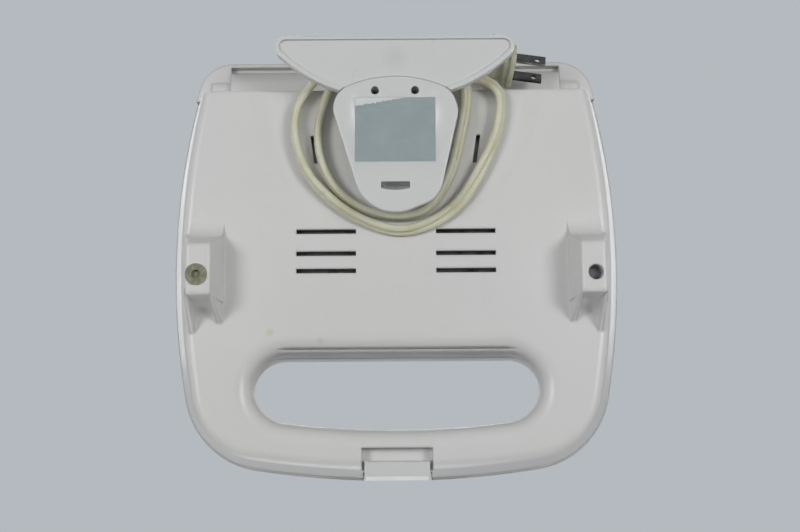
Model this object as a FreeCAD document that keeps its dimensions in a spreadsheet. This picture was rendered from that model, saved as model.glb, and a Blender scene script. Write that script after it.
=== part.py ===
import FreeCAD, Part
import math
import os
import re
import Sketcher
from FreeCAD import Vector

# Compact panini press with a 250 mm wide housing, closed and latched, standing on its feet.
# Millimetres, +Z up.  The handles and the latch are at the front (-Y), the hinge at the rear (+Y).
# The origin is on the table, under the middle of the press.

doc = FreeCAD.newDocument("panini_press")

# ---------------------------------------------------------------- driving dimensions

SIZES = {
    # levels above the table
    "post_level": 0.8, "under_level": 23.0, "floor_level": 26.2, "parting_level": 55.9,
    "rim_level": 55.6, "lid_rim_level": 56.2, "ceiling_level": 90.6, "top_level": 94.0,
    "lip_level": 51.0, "shelf_level": 55.4,
    # outline of the base, at its underside and at its rim
    "widest_y": 1.6, "base_rear": 95.2,
    "under_half": 116.3, "under_front": -112.0,
    "rim_half": 125.1, "rim_front": -118.0, "rim_side_radius": 410.0, "rim_corner": 47.6,
    "nose_radius": 512.0,
    # outline of the lid, at its rim and at its top
    "lid_half": 125.7, "lid_rear": 119.1, "lid_front": -119.5, "lid_rear_corner": 20.0,
    "top_half": 117.2, "top_rear": 113.3, "top_front": -111.5,
    # walls of the mouldings
    "wall": 3.4, "rebate_wall": 2.2, "frame_gap": 0.2, "frame_thickness": 2.4,
    "under_edge_radius": 6.0, "top_edge_radius": 9.0, "rear_edge_radius": 1.2,
    # opening for the hand
    "grip_rear": -50.6, "grip_front": -91.4, "grip_end_radius": 18.6, "grip_nose_radius": 494.0,
    "grip_edge_radius": 10.0, "grip_top_radius": 8.0, "grip_wall": 3.2,
    # the same opening at the parting line and through the lid, where it is longer
    "mouth_rear": -51.4, "mouth_front": -92.4, "mouth_end_radius": 19.2,
    "mouth_nose_radius": 828.0,
    # feet
    "post_inner": 97.4, "post_outer": 110.4, "post_front": -20.6, "post_rear": 6.2,
    "root_inner": 92.8, "root_outer": 114.6, "root_front": -23.4, "root_rear": 15.3,
    "inner_fin_near": 96.9, "inner_fin_start": 93.9, "inner_fin_front": -34.7,
    "outer_fin_near": 110.0, "outer_fin_start": 108.3, "outer_fin_front": -40.1,
    "fin_width": 3.0, "post_edge": 1.6,
    "foot_x": 104.7, "foot_y": -10.2, "foot_bore": 8.0, "foot_bore_depth": 6.8,
    "foot_disc": 11.4, "foot_stem": 6.0, "foot_hole": 4.6, "foot_hole_depth": 2.2,
    "screw_head": 6.4, "screw_head_height": 2.2, "screw_bore": 3.6, "screw_shank": 3.0,
    "screw_length": 32.0, "boss": 8.0, "boss_bore": 3.0,
    # vents in the underside
    "vent_inner": 21.8, "vent_outer": 54.2, "vent_width": 2.4,
    "vent_rear": 15.7, "vent_middle": 3.6, "vent_front": -5.9,
    # and the slit on either side of the cord wrap, which leans outwards to the rear
    "slit_front": 54.0, "slit_rear": 69.5, "slit_x": 42.4, "slit_width": 2.2, "slit_lean": 2.2,
    # dish round the cord wrap
    "dish_radius": 81.0, "dish_floor_radius": 71.0, "dish_level": 24.4,
    # hinge
    "hinge_y": 104.1, "hinge_level": 54.0, "hump_radius": 10.0, "hump_half": 94.0, "hump_gap": 0.5,
    "hinge_pin": 4.0, "hinge_pin_gap": 0.1, "pin_inner": 82.0, "pin_outer": 104.0, "ear_radius": 5.0,
    "lip_wall": 2.2, "lip_start": 96.7,
    # latch
    "latch_half": 17.5, "recess_half": 18.9, "recess_rear": -100.9, "recess_level": 30.0,
    "notch_front": -114.0, "latch_pivot_y": -113.2, "latch_pivot_level": 77.0,
    "latch_boss": 4.2, "latch_pin": 3.0, "latch_pin_half": 23.5, "block_half": 25.0,
    "clip_face": -118.2, "clip_toe": -115.8, "clip_back": -114.7, "clip_heel": -108.5,
    "clip_hook": -107.8, "clip_depth": 5.8, "clip_chamfer": 2.4, "clip_edge": 0.6,
    # cord wrap: hub, cover and rear stand
    "cover_half": 33.0, "cover_tip": 22.2, "cover_top": 96.0, "cover_tip_radius": 22.0,
    "cover_shoulder": 13.2, "cover_top_radius": 64.0, "cover_thickness": 2.6, "hub_inset": 8.0,
    "hub_rear": 78.8, "stand_rear": 119.2, "stand_front": 82.9, "stand_radius": 90.5,
    "stand_corner": 6.5, "panel_corner": 3.6, "ear_start": 52.5, "ear_height": 0.8,
    "stand_rim": 2.7, "stand_edge": 0.8, "panel_depth": 1.3, "panel_level": 2.8,
    "stand_back": 5.6, "cover_edge": 0.9,
    "sticker_half": 21.4, "sticker_front": 49.2, "sticker_rear": 84.2, "sticker_depth": 0.24,
    "neck_half": 24.0, "neck_rear": 94.0, "cover_screw_x": 10.7, "cover_screw_y": 88.1,
    "cover_screw_bore": 4.4, "slot_half": 7.6, "slot_front": 33.9, "slot_rear": 38.4,
    "slot_bow_radius": 26.0, "slot_well": 9.0,
    "wrap_screw_head": 4.0, "wrap_screw_head_height": 1.8, "wrap_screw": 2.6,
    "wrap_screw_length": 12.0, "wrap_screw_well": 12.0,
    # grill plates and what sits behind them
    "plate_half": 97.0, "plate_front": -43.4, "plate_rear": 84.6, "plate_corner": 12.0,
    "plate_thickness": 10.0, "plate_gap": 0.3, "well_margin": 7.0, "well_depth": 7.0,
    "ridge_height": 3.4, "ridge_width": 3.0, "ridge_pitch": 9.0, "frame_plate_gap": 0.8,
    "pan_half": 91.0, "pan_front": -37.4, "pan_rear": 78.6, "pan_depth": 12.6, "pan_sheet": 0.8,
    "heater_tube": 6.4, "heater_half": 66.0, "heater_front": -24.4, "heater_rear": 54.6,
    "heater_bend": 18.0, "terminal_length": 14.0, "plate_screw_x": 34.0, "plate_screw_y": 52.6,
    "plate_boss": 9.0, "stud_x": 84.0, "stud_y": 40.0, "stud": 8.0, "plate_middle": 20.6,
    "plate_screw_head": 6.4, "plate_screw_head_height": 2.0, "plate_screw": 2.4,
    "plate_screw_length": 8.0,
    "lamp_x": 11.0, "lamp_y": -39.4, "lens_radius": 3.6, "lens_rise": 0.8, "lens_flange": 1.5,
    "lamp_length": 9.0, "lamp": 5.2,
    # thermostat, fuse and terminal block
    "thermostat": 16.0, "thermostat_height": 8.0, "tab_inner": 4.0, "tab_outer": 12.0,
    "tab_width": 6.0, "fuse_y": 36.6, "fuse": 4.0, "fuse_start": 22.0, "fuse_length": 14.0,
    "lead_start": 14.0, "lead_length": 30.0, "lead": 1.2,
    "block_left": 24.0, "block_right": 50.0, "block_front": 70.6, "block_rear": 82.6,
    "block_height": 6.4, "wire_hole": 3.2, "wire_pitch": 7.0,
    # power cord
    "cord_tube": 6.0, "relief_x": -12.0, "relief_level": 32.0, "relief_bore": 9.0,
    "relief_tip": 7.4, "plug_length": 26.2, "plug_half": 9.5, "plug_half_depth": 6.2,
    "plug_tail_half": 4.6, "plug_tail_half_depth": 3.8, "plug_block": 5.0, "plug_edge": 1.6,
    "plug_flange": 3.3, "flange_half": 12.5, "flange_half_depth": 7.4, "flange_corner": 5.0,
    "blade_length": 16.5, "blade_width": 6.35, "blade_thickness": 1.5,
    "blade_spacing": 12.7, "blade_hole": 3.2, "blade_hole_inset": 4.5,
}


def add_matching_radii(word, half, front, rear=None):
    """Add the radii of a second outline whose arcs meet at the rim's angles, for smooth walls."""
    nose, side, corner = (SIZES[name] for name in ("nose_radius", "rim_side_radius", "rim_corner"))
    rim_half, rim_front, widest = (SIZES[name] for name in ("rim_half", "rim_front", "widest_y"))
    side_x, nose_y = rim_half - side, rim_front + nose
    to_side, to_nose = side - corner, nose - corner
    span = math.hypot(side_x, widest - nose_y)
    along = (to_nose ** 2 - to_side ** 2 + span ** 2) / (2 * span)
    across = math.sqrt(to_nose ** 2 - along ** 2)
    unit_x, unit_y = side_x / span, (widest - nose_y) / span
    corner_x = unit_x * along - unit_y * across
    corner_y = nose_y + unit_y * along + unit_x * across
    sin_a, cos_a = corner_x / to_nose, (nose_y - corner_y) / to_nose
    cos_b, sin_b = (corner_x - side_x) / to_side, (widest - corner_y) / to_side
    # two equations, width and length, for the corner's and the side's radius
    a1, b1, c1 = cos_b - sin_a, 1.0 - cos_b, half - nose * sin_a
    a2, b2, c2 = cos_a - sin_b, sin_b, widest - front - nose * (1.0 - cos_a)
    determinant = a1 * b2 - a2 * b1
    new_corner = (c1 * b2 - c2 * b1) / determinant
    new_side = (a1 * c2 - a2 * c1) / determinant
    SIZES[word + "_corner"] = new_corner
    SIZES[word + "_side_radius"] = new_side
    if rear is not None:
        turn = SIZES["lid_rear_corner"]
        sin_c = (SIZES["lid_rear"] - turn - widest) / (side - turn)
        SIZES[word + "_rear_corner"] = (rear - widest - new_side * sin_c) / (1.0 - sin_c)


add_matching_radii("under", SIZES["under_half"], SIZES["under_front"])
add_matching_radii("lid", SIZES["lid_half"], SIZES["lid_front"])
add_matching_radii("top", SIZES["top_half"], SIZES["top_front"], SIZES["top_rear"])

sheet = doc.addObject("Spreadsheet::Sheet", "Sizes")
for row, (alias, value) in enumerate(SIZES.items(), start=1):
    sheet.set("A%d" % row, alias)
    sheet.set("B%d" % row, str(value))
    sheet.setAlias("B%d" % row, alias)
doc.recompute()


def number(size):
    """The value of a size: a plain number, or an expression on the sheet."""
    if isinstance(size, str):
        return float(sheet.evalExpression(size))
    return float(size)


def of(text):
    """An expression in which every word that is a size gets the sheet's name before it."""
    def full(match):
        word = match.group()
        return "Sizes." + word if word in SIZES else word
    return re.sub("[a-z_]+", full, text)


def bind(target, path, size):
    """Bind a property to an expression on the sheet, or set it when the size is a number."""
    if isinstance(size, str):
        target.setExpression(path, size)


# ---------------------------------------------------------------- sketches

class Profile:
    """A sketch on a plane of its own body, with its points and radii bound to the sheet."""

    def __init__(self, body, name, plane="XY_Plane", level=0.0):
        self.sketch = body.newObject("Sketcher::SketchObject", name)
        support = [item for item in body.Origin.OriginFeatures if item.Role == plane][0]
        self.sketch.AttachmentSupport = [(support, "")]
        self.sketch.MapMode = "FlatFace"
        offset = -1.0 if plane == "XZ_Plane" else 1.0
        self.sketch.AttachmentOffset = FreeCAD.Placement(
            Vector(0, 0, offset * number(level)), FreeCAD.Rotation())
        if isinstance(level, str):
            self.sketch.setExpression("AttachmentOffset.Base.z", "%g * (%s)" % (offset, level))

    def bound(self, constraint, size):
        """Add a constraint and bind its value."""
        index = self.sketch.addConstraint(constraint)
        if isinstance(size, str):
            self.sketch.setExpression("Constraints[%d]" % index, size)

    def pin(self, item, point, x=None, y=None):
        """Hold a point of a sketch element at a distance from the sketch's origin."""
        if x is not None:
            self.bound(Sketcher.Constraint("DistanceX", -1, 1, item, point, number(x)), x)
        if y is not None:
            self.bound(Sketcher.Constraint("DistanceY", -1, 1, item, point, number(y)), y)

    def radius(self, item, size):
        """Give an arc or a circle its radius."""
        self.bound(Sketcher.Constraint("Radius", item, number(size)), size)

    def polygon(self, points):
        """A closed polygon through points given as pairs of sizes."""
        flat = [Vector(number(x), number(y), 0) for x, y in points]
        count = len(flat)
        first = self.sketch.GeometryCount
        for i in range(count):
            self.sketch.addGeometry(Part.LineSegment(flat[i], flat[(i + 1) % count]), False)
        for i in range(count):
            after = first + (i + 1) % count
            self.sketch.addConstraint(Sketcher.Constraint("Coincident", first + i, 2, after, 1))
        for i, (x, y) in enumerate(points):
            self.pin(first + i, 1, x, y)
        return self

    def rectangle(self, left, front, right, rear):
        """A rectangle between four sizes."""
        return self.polygon([(left, front), (right, front), (right, rear), (left, rear)])

    def circle(self, x, y, radius):
        """A circle about a point."""
        middle = Vector(number(x), number(y), 0)
        item = self.sketch.addGeometry(Part.Circle(middle, Vector(0, 0, 1), number(radius)), False)
        self.pin(item, 3, x, y)
        self.radius(item, radius)
        return self

    def chain(self, path):
        """A closed run of lines and arcs, anticlockwise; each joint is tangent unless it is sharp."""
        items = []
        for step in path:
            if step[0] == "line":
                shape = Part.LineSegment(step[1], step[2])
            else:
                middle, size, start, end = step[1:5]
                ring = Part.Circle(middle, Vector(0, 0, 1), size)
                shape = Part.ArcOfCircle(ring, start, end)
            items.append(self.sketch.addGeometry(shape, False))
        for i, item in enumerate(items):
            after = items[(i + 1) % len(items)]
            sharp = path[i][-1] == "sharp"
            kind = "Coincident" if sharp else "Tangent"
            self.sketch.addConstraint(Sketcher.Constraint(kind, item, 2, after, 1))
        return items


def angle_of(middle, point):
    """The direction from an arc's middle to a point, in radians."""
    return math.atan2(point.y - middle.y, point.x - middle.x)


def beyond(middle, inner, radius):
    """The point where two arcs touch: on the line from one middle through the other."""
    along = inner - middle
    return middle + along * (radius / along.Length)


def mirrored(point):
    """The same point on the other side of the press."""
    return Vector(-point.x, point.y, 0)


def housing_outline(profile, half, front, rear, side_radius, corner_radius, nose_radius,
                    rear_corner=None):
    """Outline of a housing: bowed nose, front corners, bowed sides and a straight rear."""
    half_v, front_v, rear_v = number(half), number(front), number(rear)
    side_v, corner_v, nose_v = number(side_radius), number(corner_radius), number(nose_radius)
    side = Vector(half_v - side_v, number(of("widest_y")), 0)
    nose = Vector(0, front_v + nose_v, 0)
    span = side - nose
    to_side, to_nose = side_v - corner_v, nose_v - corner_v
    along = (to_nose ** 2 - to_side ** 2 + span.Length ** 2) / (2 * span.Length)
    across = math.sqrt(to_nose ** 2 - along ** 2)
    unit = span / span.Length
    corner = nose + unit * along + Vector(-unit.y, unit.x, 0) * across
    nose_end = beyond(nose, corner, nose_v)
    side_start = beyond(side, corner, side_v)
    if rear_corner is None:
        reach = math.sqrt(side_v ** 2 - (rear_v - side.y) ** 2)
        side_end = Vector(side.x + reach, rear_v, 0)
        rear_end = side_end
    else:
        turn_v = number(rear_corner)
        reach = math.sqrt((side_v - turn_v) ** 2 - (rear_v - turn_v - side.y) ** 2)
        turn = Vector(side.x + reach, rear_v - turn_v, 0)
        side_end = beyond(side, turn, side_v)
        rear_end = Vector(turn.x, rear_v, 0)

    def arc(middle, size, start, end, joint="smooth"):
        first, last = angle_of(middle, start), angle_of(middle, end)
        if last < first:
            last += 2 * math.pi
        return ("arc", middle, size, first, last, joint)

    joint = "sharp" if rear_corner is None else "smooth"
    path = [arc(nose, nose_v, mirrored(nose_end), nose_end),
            arc(corner, corner_v, nose_end, side_start),
            arc(side, side_v, side_start, side_end, joint)]
    if rear_corner is not None:
        path.append(arc(turn, turn_v, side_end, rear_end))
    path.append(("line", rear_end, mirrored(rear_end), joint))
    if rear_corner is not None:
        path.append(arc(mirrored(turn), turn_v, mirrored(rear_end), mirrored(side_end)))
    path.append(arc(mirrored(side), side_v, mirrored(side_end), mirrored(side_start)))
    path.append(arc(mirrored(corner), corner_v, mirrored(side_start), mirrored(nose_end)))
    items = profile.chain(path)
    middle_x = "%s - (%s)" % (half, side_radius)
    last = len(items) - 1
    profile.radius(items[0], nose_radius)
    profile.pin(items[0], 3, 0.0, "%s + %s" % (front, nose_radius))
    for item in (items[1], items[last]):
        profile.radius(item, corner_radius)
    for item, sign in ((items[2], ""), (items[last - 1], "-")):
        profile.radius(item, side_radius)
        profile.pin(item, 3, "%s(%s)" % (sign, middle_x), of("widest_y"))
    line = 3 if rear_corner is None else 4
    profile.sketch.addConstraint(Sketcher.Constraint("Horizontal", items[line]))
    profile.pin(items[line], 1, None, rear)
    if rear_corner is not None:
        for item in (items[3], items[5]):
            profile.radius(item, rear_corner)
    return profile


def bowed_outline(profile, rear, front, end_radius, nose_radius):
    """A straight rear edge, two round ends and one wide bow: the hand opening or the stand."""
    rear_v, front_v = number(rear), number(front)
    end_v, nose_v = number(end_radius), number(nose_radius)
    nose = Vector(0, front_v + nose_v, 0)
    rise = rear_v - end_v - nose.y
    end = Vector(math.sqrt((nose_v - end_v) ** 2 - rise ** 2), rear_v - end_v, 0)
    touch = beyond(nose, end, nose_v)
    low, high = angle_of(nose, touch), math.pi / 2
    path = [("arc", nose, nose_v, -math.pi - low, low, "smooth"),
            ("arc", end, end_v, low, high, "smooth"),
            ("line", end + Vector(0, end_v, 0), mirrored(end) + Vector(0, end_v, 0), "smooth"),
            ("arc", mirrored(end), end_v, high, math.pi - low, "smooth")]
    items = profile.chain(path)
    profile.radius(items[0], nose_radius)
    profile.pin(items[0], 3, 0.0, "%s + %s" % (front, nose_radius))
    profile.radius(items[1], end_radius)
    profile.radius(items[3], end_radius)
    profile.sketch.addConstraint(Sketcher.Constraint("Horizontal", items[2]))
    profile.pin(items[2], 1, None, rear)
    return profile


def cover_outline(profile, inset):
    """The tongue: a round tip, straight flanks that widen, shoulders and an arched top."""
    tip_r, shoulder_r, top_r = (of("%s - %s" % (name, inset)) for name in
                                ("cover_tip_radius", "cover_shoulder", "cover_top_radius"))
    tip_y = of("cover_tip + cover_tip_radius")
    top_y = of("cover_top - cover_top_radius")
    shoulder_x = of("cover_half - cover_shoulder")
    tip = Vector(0, number(tip_y), 0)
    top = Vector(0, number(top_y), 0)
    tip_v, shoulder_v, top_v = number(tip_r), number(shoulder_r), number(top_r)
    rise = math.sqrt((top_v - shoulder_v) ** 2 - number(shoulder_x) ** 2)
    shoulder = Vector(number(shoulder_x), top.y + rise, 0)
    link = shoulder - tip
    normal = angle_of(tip, shoulder) - math.acos((tip_v - shoulder_v) / link.Length)
    out = Vector(math.cos(normal), math.sin(normal), 0)
    arch = angle_of(top, shoulder)
    path = [("arc", tip, tip_v, math.pi - normal - 2 * math.pi, normal, "smooth"),
            ("line", tip + out * tip_v, shoulder + out * shoulder_v, "smooth"),
            ("arc", shoulder, shoulder_v, normal, arch, "smooth"),
            ("arc", top, top_v, arch, math.pi - arch, "smooth"),
            ("arc", mirrored(shoulder), shoulder_v, math.pi - arch, math.pi - normal, "smooth"),
            ("line", mirrored(shoulder + out * shoulder_v), mirrored(tip + out * tip_v), "smooth")]
    items = profile.chain(path)
    profile.radius(items[0], tip_r)
    profile.pin(items[0], 3, 0.0, tip_y)
    profile.radius(items[3], top_r)
    profile.pin(items[3], 3, 0.0, top_y)
    for item, sign in ((items[2], ""), (items[4], "-")):
        profile.radius(item, shoulder_r)
        profile.pin(item, 3, "%s(%s)" % (sign, shoulder_x), None)
    return profile


def round_rectangle(profile, half, front, rear, corner):
    """A rectangle, even about the middle of the press, with round corners."""
    half_v, front_v, rear_v, turn = number(half), number(front), number(rear), number(corner)
    right, low, high = half_v - turn, front_v + turn, rear_v - turn
    quarter = math.pi / 2
    path = []
    corners = ((right, low, -quarter), (right, high, 0.0), (-right, high, quarter),
               (-right, low, math.pi))
    for i, (x, y, start) in enumerate(corners):
        path.append(("arc", Vector(x, y, 0), turn, start, start + quarter, "smooth"))
        x_next, y_next, start_next = corners[(i + 1) % 4]
        out = Vector(math.cos(start_next), math.sin(start_next), 0) * turn
        path.append(("line", Vector(x, y, 0) + out, Vector(x_next, y_next, 0) + out, "smooth"))
    items = profile.chain(path)
    for item in items[0::2]:
        profile.radius(item, corner)
    profile.pin(items[0], 3, "%s - (%s)" % (half, corner), "%s + %s" % (front, corner))
    profile.pin(items[4], 3, "-(%s - (%s))" % (half, corner), "%s - (%s)" % (rear, corner))
    profile.sketch.addConstraint(Sketcher.Constraint("Vertical", items[1]))
    profile.sketch.addConstraint(Sketcher.Constraint("Horizontal", items[3]))
    profile.sketch.addConstraint(Sketcher.Constraint("Vertical", items[5]))
    profile.sketch.addConstraint(Sketcher.Constraint("Horizontal", items[7]))
    return profile


def bowed_slot(profile, half, front, rear, bow_radius):
    """A slot with a straight rear edge, square ends and a front edge that bows outwards."""
    half_v, front_v, rear_v, bow_v = (number(size) for size in (half, front, rear, bow_radius))
    middle = Vector(0, front_v + bow_v, 0)
    right = Vector(half_v, middle.y - math.sqrt(bow_v ** 2 - half_v ** 2), 0)
    left = mirrored(right)
    rear_right, rear_left = Vector(half_v, rear_v, 0), Vector(-half_v, rear_v, 0)
    path = [("arc", middle, bow_v, angle_of(middle, left), angle_of(middle, right), "sharp"),
            ("line", right, rear_right, "sharp"), ("line", rear_right, rear_left, "sharp"),
            ("line", rear_left, left, "sharp")]
    items = profile.chain(path)
    profile.radius(items[0], bow_radius)
    profile.pin(items[0], 3, 0.0, "%s + %s" % (front, bow_radius))
    profile.pin(items[1], 2, half, rear)
    profile.pin(items[2], 2, "-(%s)" % half, rear)
    profile.sketch.addConstraint(Sketcher.Constraint("Vertical", items[1]))
    profile.sketch.addConstraint(Sketcher.Constraint("Vertical", items[3]))
    return profile


def hump_outline(profile, front, top):
    """Side view of the hinge hump: a flat underside that runs into a round about the hinge."""
    middle = Vector(number(of("hinge_y")), number(of("hinge_level")), 0)
    size = number(of("hump_radius"))
    front_v, top_v = number(front), number(top)
    end = math.pi - math.asin((top_v - middle.y) / size)
    low = Vector(front_v, middle.y - size, 0)
    crest = middle + Vector(math.cos(end), math.sin(end), 0) * size
    path = [("line", low, middle - Vector(0, size, 0), "smooth"),
            ("arc", middle, size, -math.pi / 2, end, "sharp"),
            ("line", crest, Vector(front_v, top_v, 0), "sharp"),
            ("line", Vector(front_v, top_v, 0), low, "sharp")]
    items = profile.chain(path)
    profile.pin(items[0], 1, front, of("hinge_level - hump_radius"))
    profile.radius(items[1], of("hump_radius"))
    profile.pin(items[1], 3, of("hinge_y"), of("hinge_level"))
    profile.pin(items[1], 2, None, top)
    profile.pin(items[3], 1, front, top)
    return profile


# ---------------------------------------------------------------- features

parts = []


def new_body(name):
    """A body for one piece, listed among the parts."""
    body = doc.addObject("PartDesign::Body", name)
    body.Label = name
    parts.append(body)
    return body


def landed(body, feature):
    """Make a feature the body's tip, after checking that it worked."""
    if feature.Shape.isNull() or not feature.Shape.isValid() or "Invalid" in feature.State:
        raise RuntimeError("%s of %s failed" % (feature.Label, body.Label))
    body.Tip = feature
    return feature


def extrude(body, kind, profile, name, length, up=True, both=False):
    """A pad or a pocket of a profile, up or down from it, or to both sides."""
    before = body.Tip.Shape.Volume if body.Tip else 0.0
    feature = body.newObject("PartDesign::" + kind, name)
    feature.Profile = profile.sketch
    feature.Length = number(length)
    bind(feature, "Length", length)
    if both:
        feature.SideType = "Symmetric"
    grows_up = kind == "Pad"
    feature.Reversed = up != grows_up
    doc.recompute()
    landed(body, feature)
    if kind == "Pocket" and feature.Shape.Volume > before - 0.01:
        raise RuntimeError("%s cuts nothing" % name)
    return feature


def pad(body, profile, name, length, up=True, both=False):
    """Material added."""
    return extrude(body, "Pad", profile, name, length, up, both)


def pocket(body, profile, name, length, up=True, both=False):
    """Material removed."""
    return extrude(body, "Pocket", profile, name, length, up, both)


def loft(body, kind, lower, upper, name):
    """A ruled loft between two profiles, added or removed."""
    feature = body.newObject("PartDesign::%sLoft" % kind, name)
    # the upper profile comes first, so that the walls face outwards
    feature.Profile = upper.sketch
    feature.Sections = [lower.sketch]
    feature.Ruled = True
    doc.recompute()
    return landed(body, feature)


def edges_of(shape, test):
    """The names of the edges that pass a test on their two ends and middle."""
    names = []
    for i, edge in enumerate(shape.Edges, start=1):
        middle = edge.valueAt((edge.FirstParameter + edge.LastParameter) / 2)
        points = [vertex.Point for vertex in edge.Vertexes] + [middle]
        if all(test(point) for point in points):
            names.append("Edge%d" % i)
    return names


def dress(body, kind, name, size, test):
    """A fillet or a chamfer on the edges that pass a test."""
    base = body.Tip
    names = edges_of(base.Shape, test)
    if not names:
        raise RuntimeError("%s finds no edge" % name)
    feature = body.newObject("PartDesign::" + kind, name)
    feature.Base = (base, names)
    path = "Radius" if kind == "Fillet" else "Size"
    setattr(feature, path, number(size))
    bind(feature, path, size)
    doc.recompute()
    return landed(body, feature)


def near(value, target, slack=0.05):
    """True when two lengths agree."""
    return abs(value - target) < slack


# ---------------------------------------------------------------- housings

SIDES = (("right", ""), ("left", "-"))


def base_outline(body, name, level, inset_name, under):
    """The base's outline at a level, moved in by a wall."""
    inset = of(inset_name)
    word = "under" if under else "rim"
    profile = Profile(body, name, level=level)
    housing_outline(profile, of("%s_half - " % word) + inset, of("%s_front + " % word) + inset,
                    of("base_rear - ") + inset, of("%s_side_radius - " % word) + inset,
                    of("%s_corner - " % word) + inset, of("nose_radius - ") + inset)
    return profile


def lid_outline(body, name, level, inset_name, top=False, rear="lid_rear", square=False):
    """The lid's outline at a level, moved in by a wall; square leaves the rear corners sharp."""
    inset = of(inset_name)
    half, front, side, corner = ("lid_half", "lid_front", "lid_side_radius", "lid_corner")
    turn = "lid_rear_corner"
    if top:
        half, front, side, corner = ("top_half", "top_front", "top_side_radius", "top_corner")
        turn = "top_rear_corner"
    profile = Profile(body, name, level=level)
    housing_outline(profile, of(half + " - ") + inset, of(front + " + ") + inset,
                    of(rear + " - ") + inset, of(side + " - ") + inset,
                    of(corner + " - ") + inset, of("nose_radius - ") + inset,
                    None if square else of(turn + " - ") + inset)
    return profile


def grip_outline(body, name, level, offset="0", word="mouth"):
    """The outline of the opening for the hand, widened all round by an offset."""
    profile = Profile(body, name, level=level)
    bowed_outline(profile, of("%s_rear + %s" % (word, offset)),
                  of("%s_front - (%s)" % (word, offset)),
                  of("%s_end_radius + %s" % (word, offset)),
                  of("%s_nose_radius + %s" % (word, offset)))
    return profile


def dress_grip(body, level, word, radius):
    """The soft edge of the opening for the hand where it leaves a housing's face."""
    front, rear = number(of(word + "_front")) - 1.0, number(of(word + "_rear")) + 1.0
    dress(body, "Fillet", "GripEdge", of(radius),
          lambda p: near(p.z, level) and front < p.y < rear)


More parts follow.
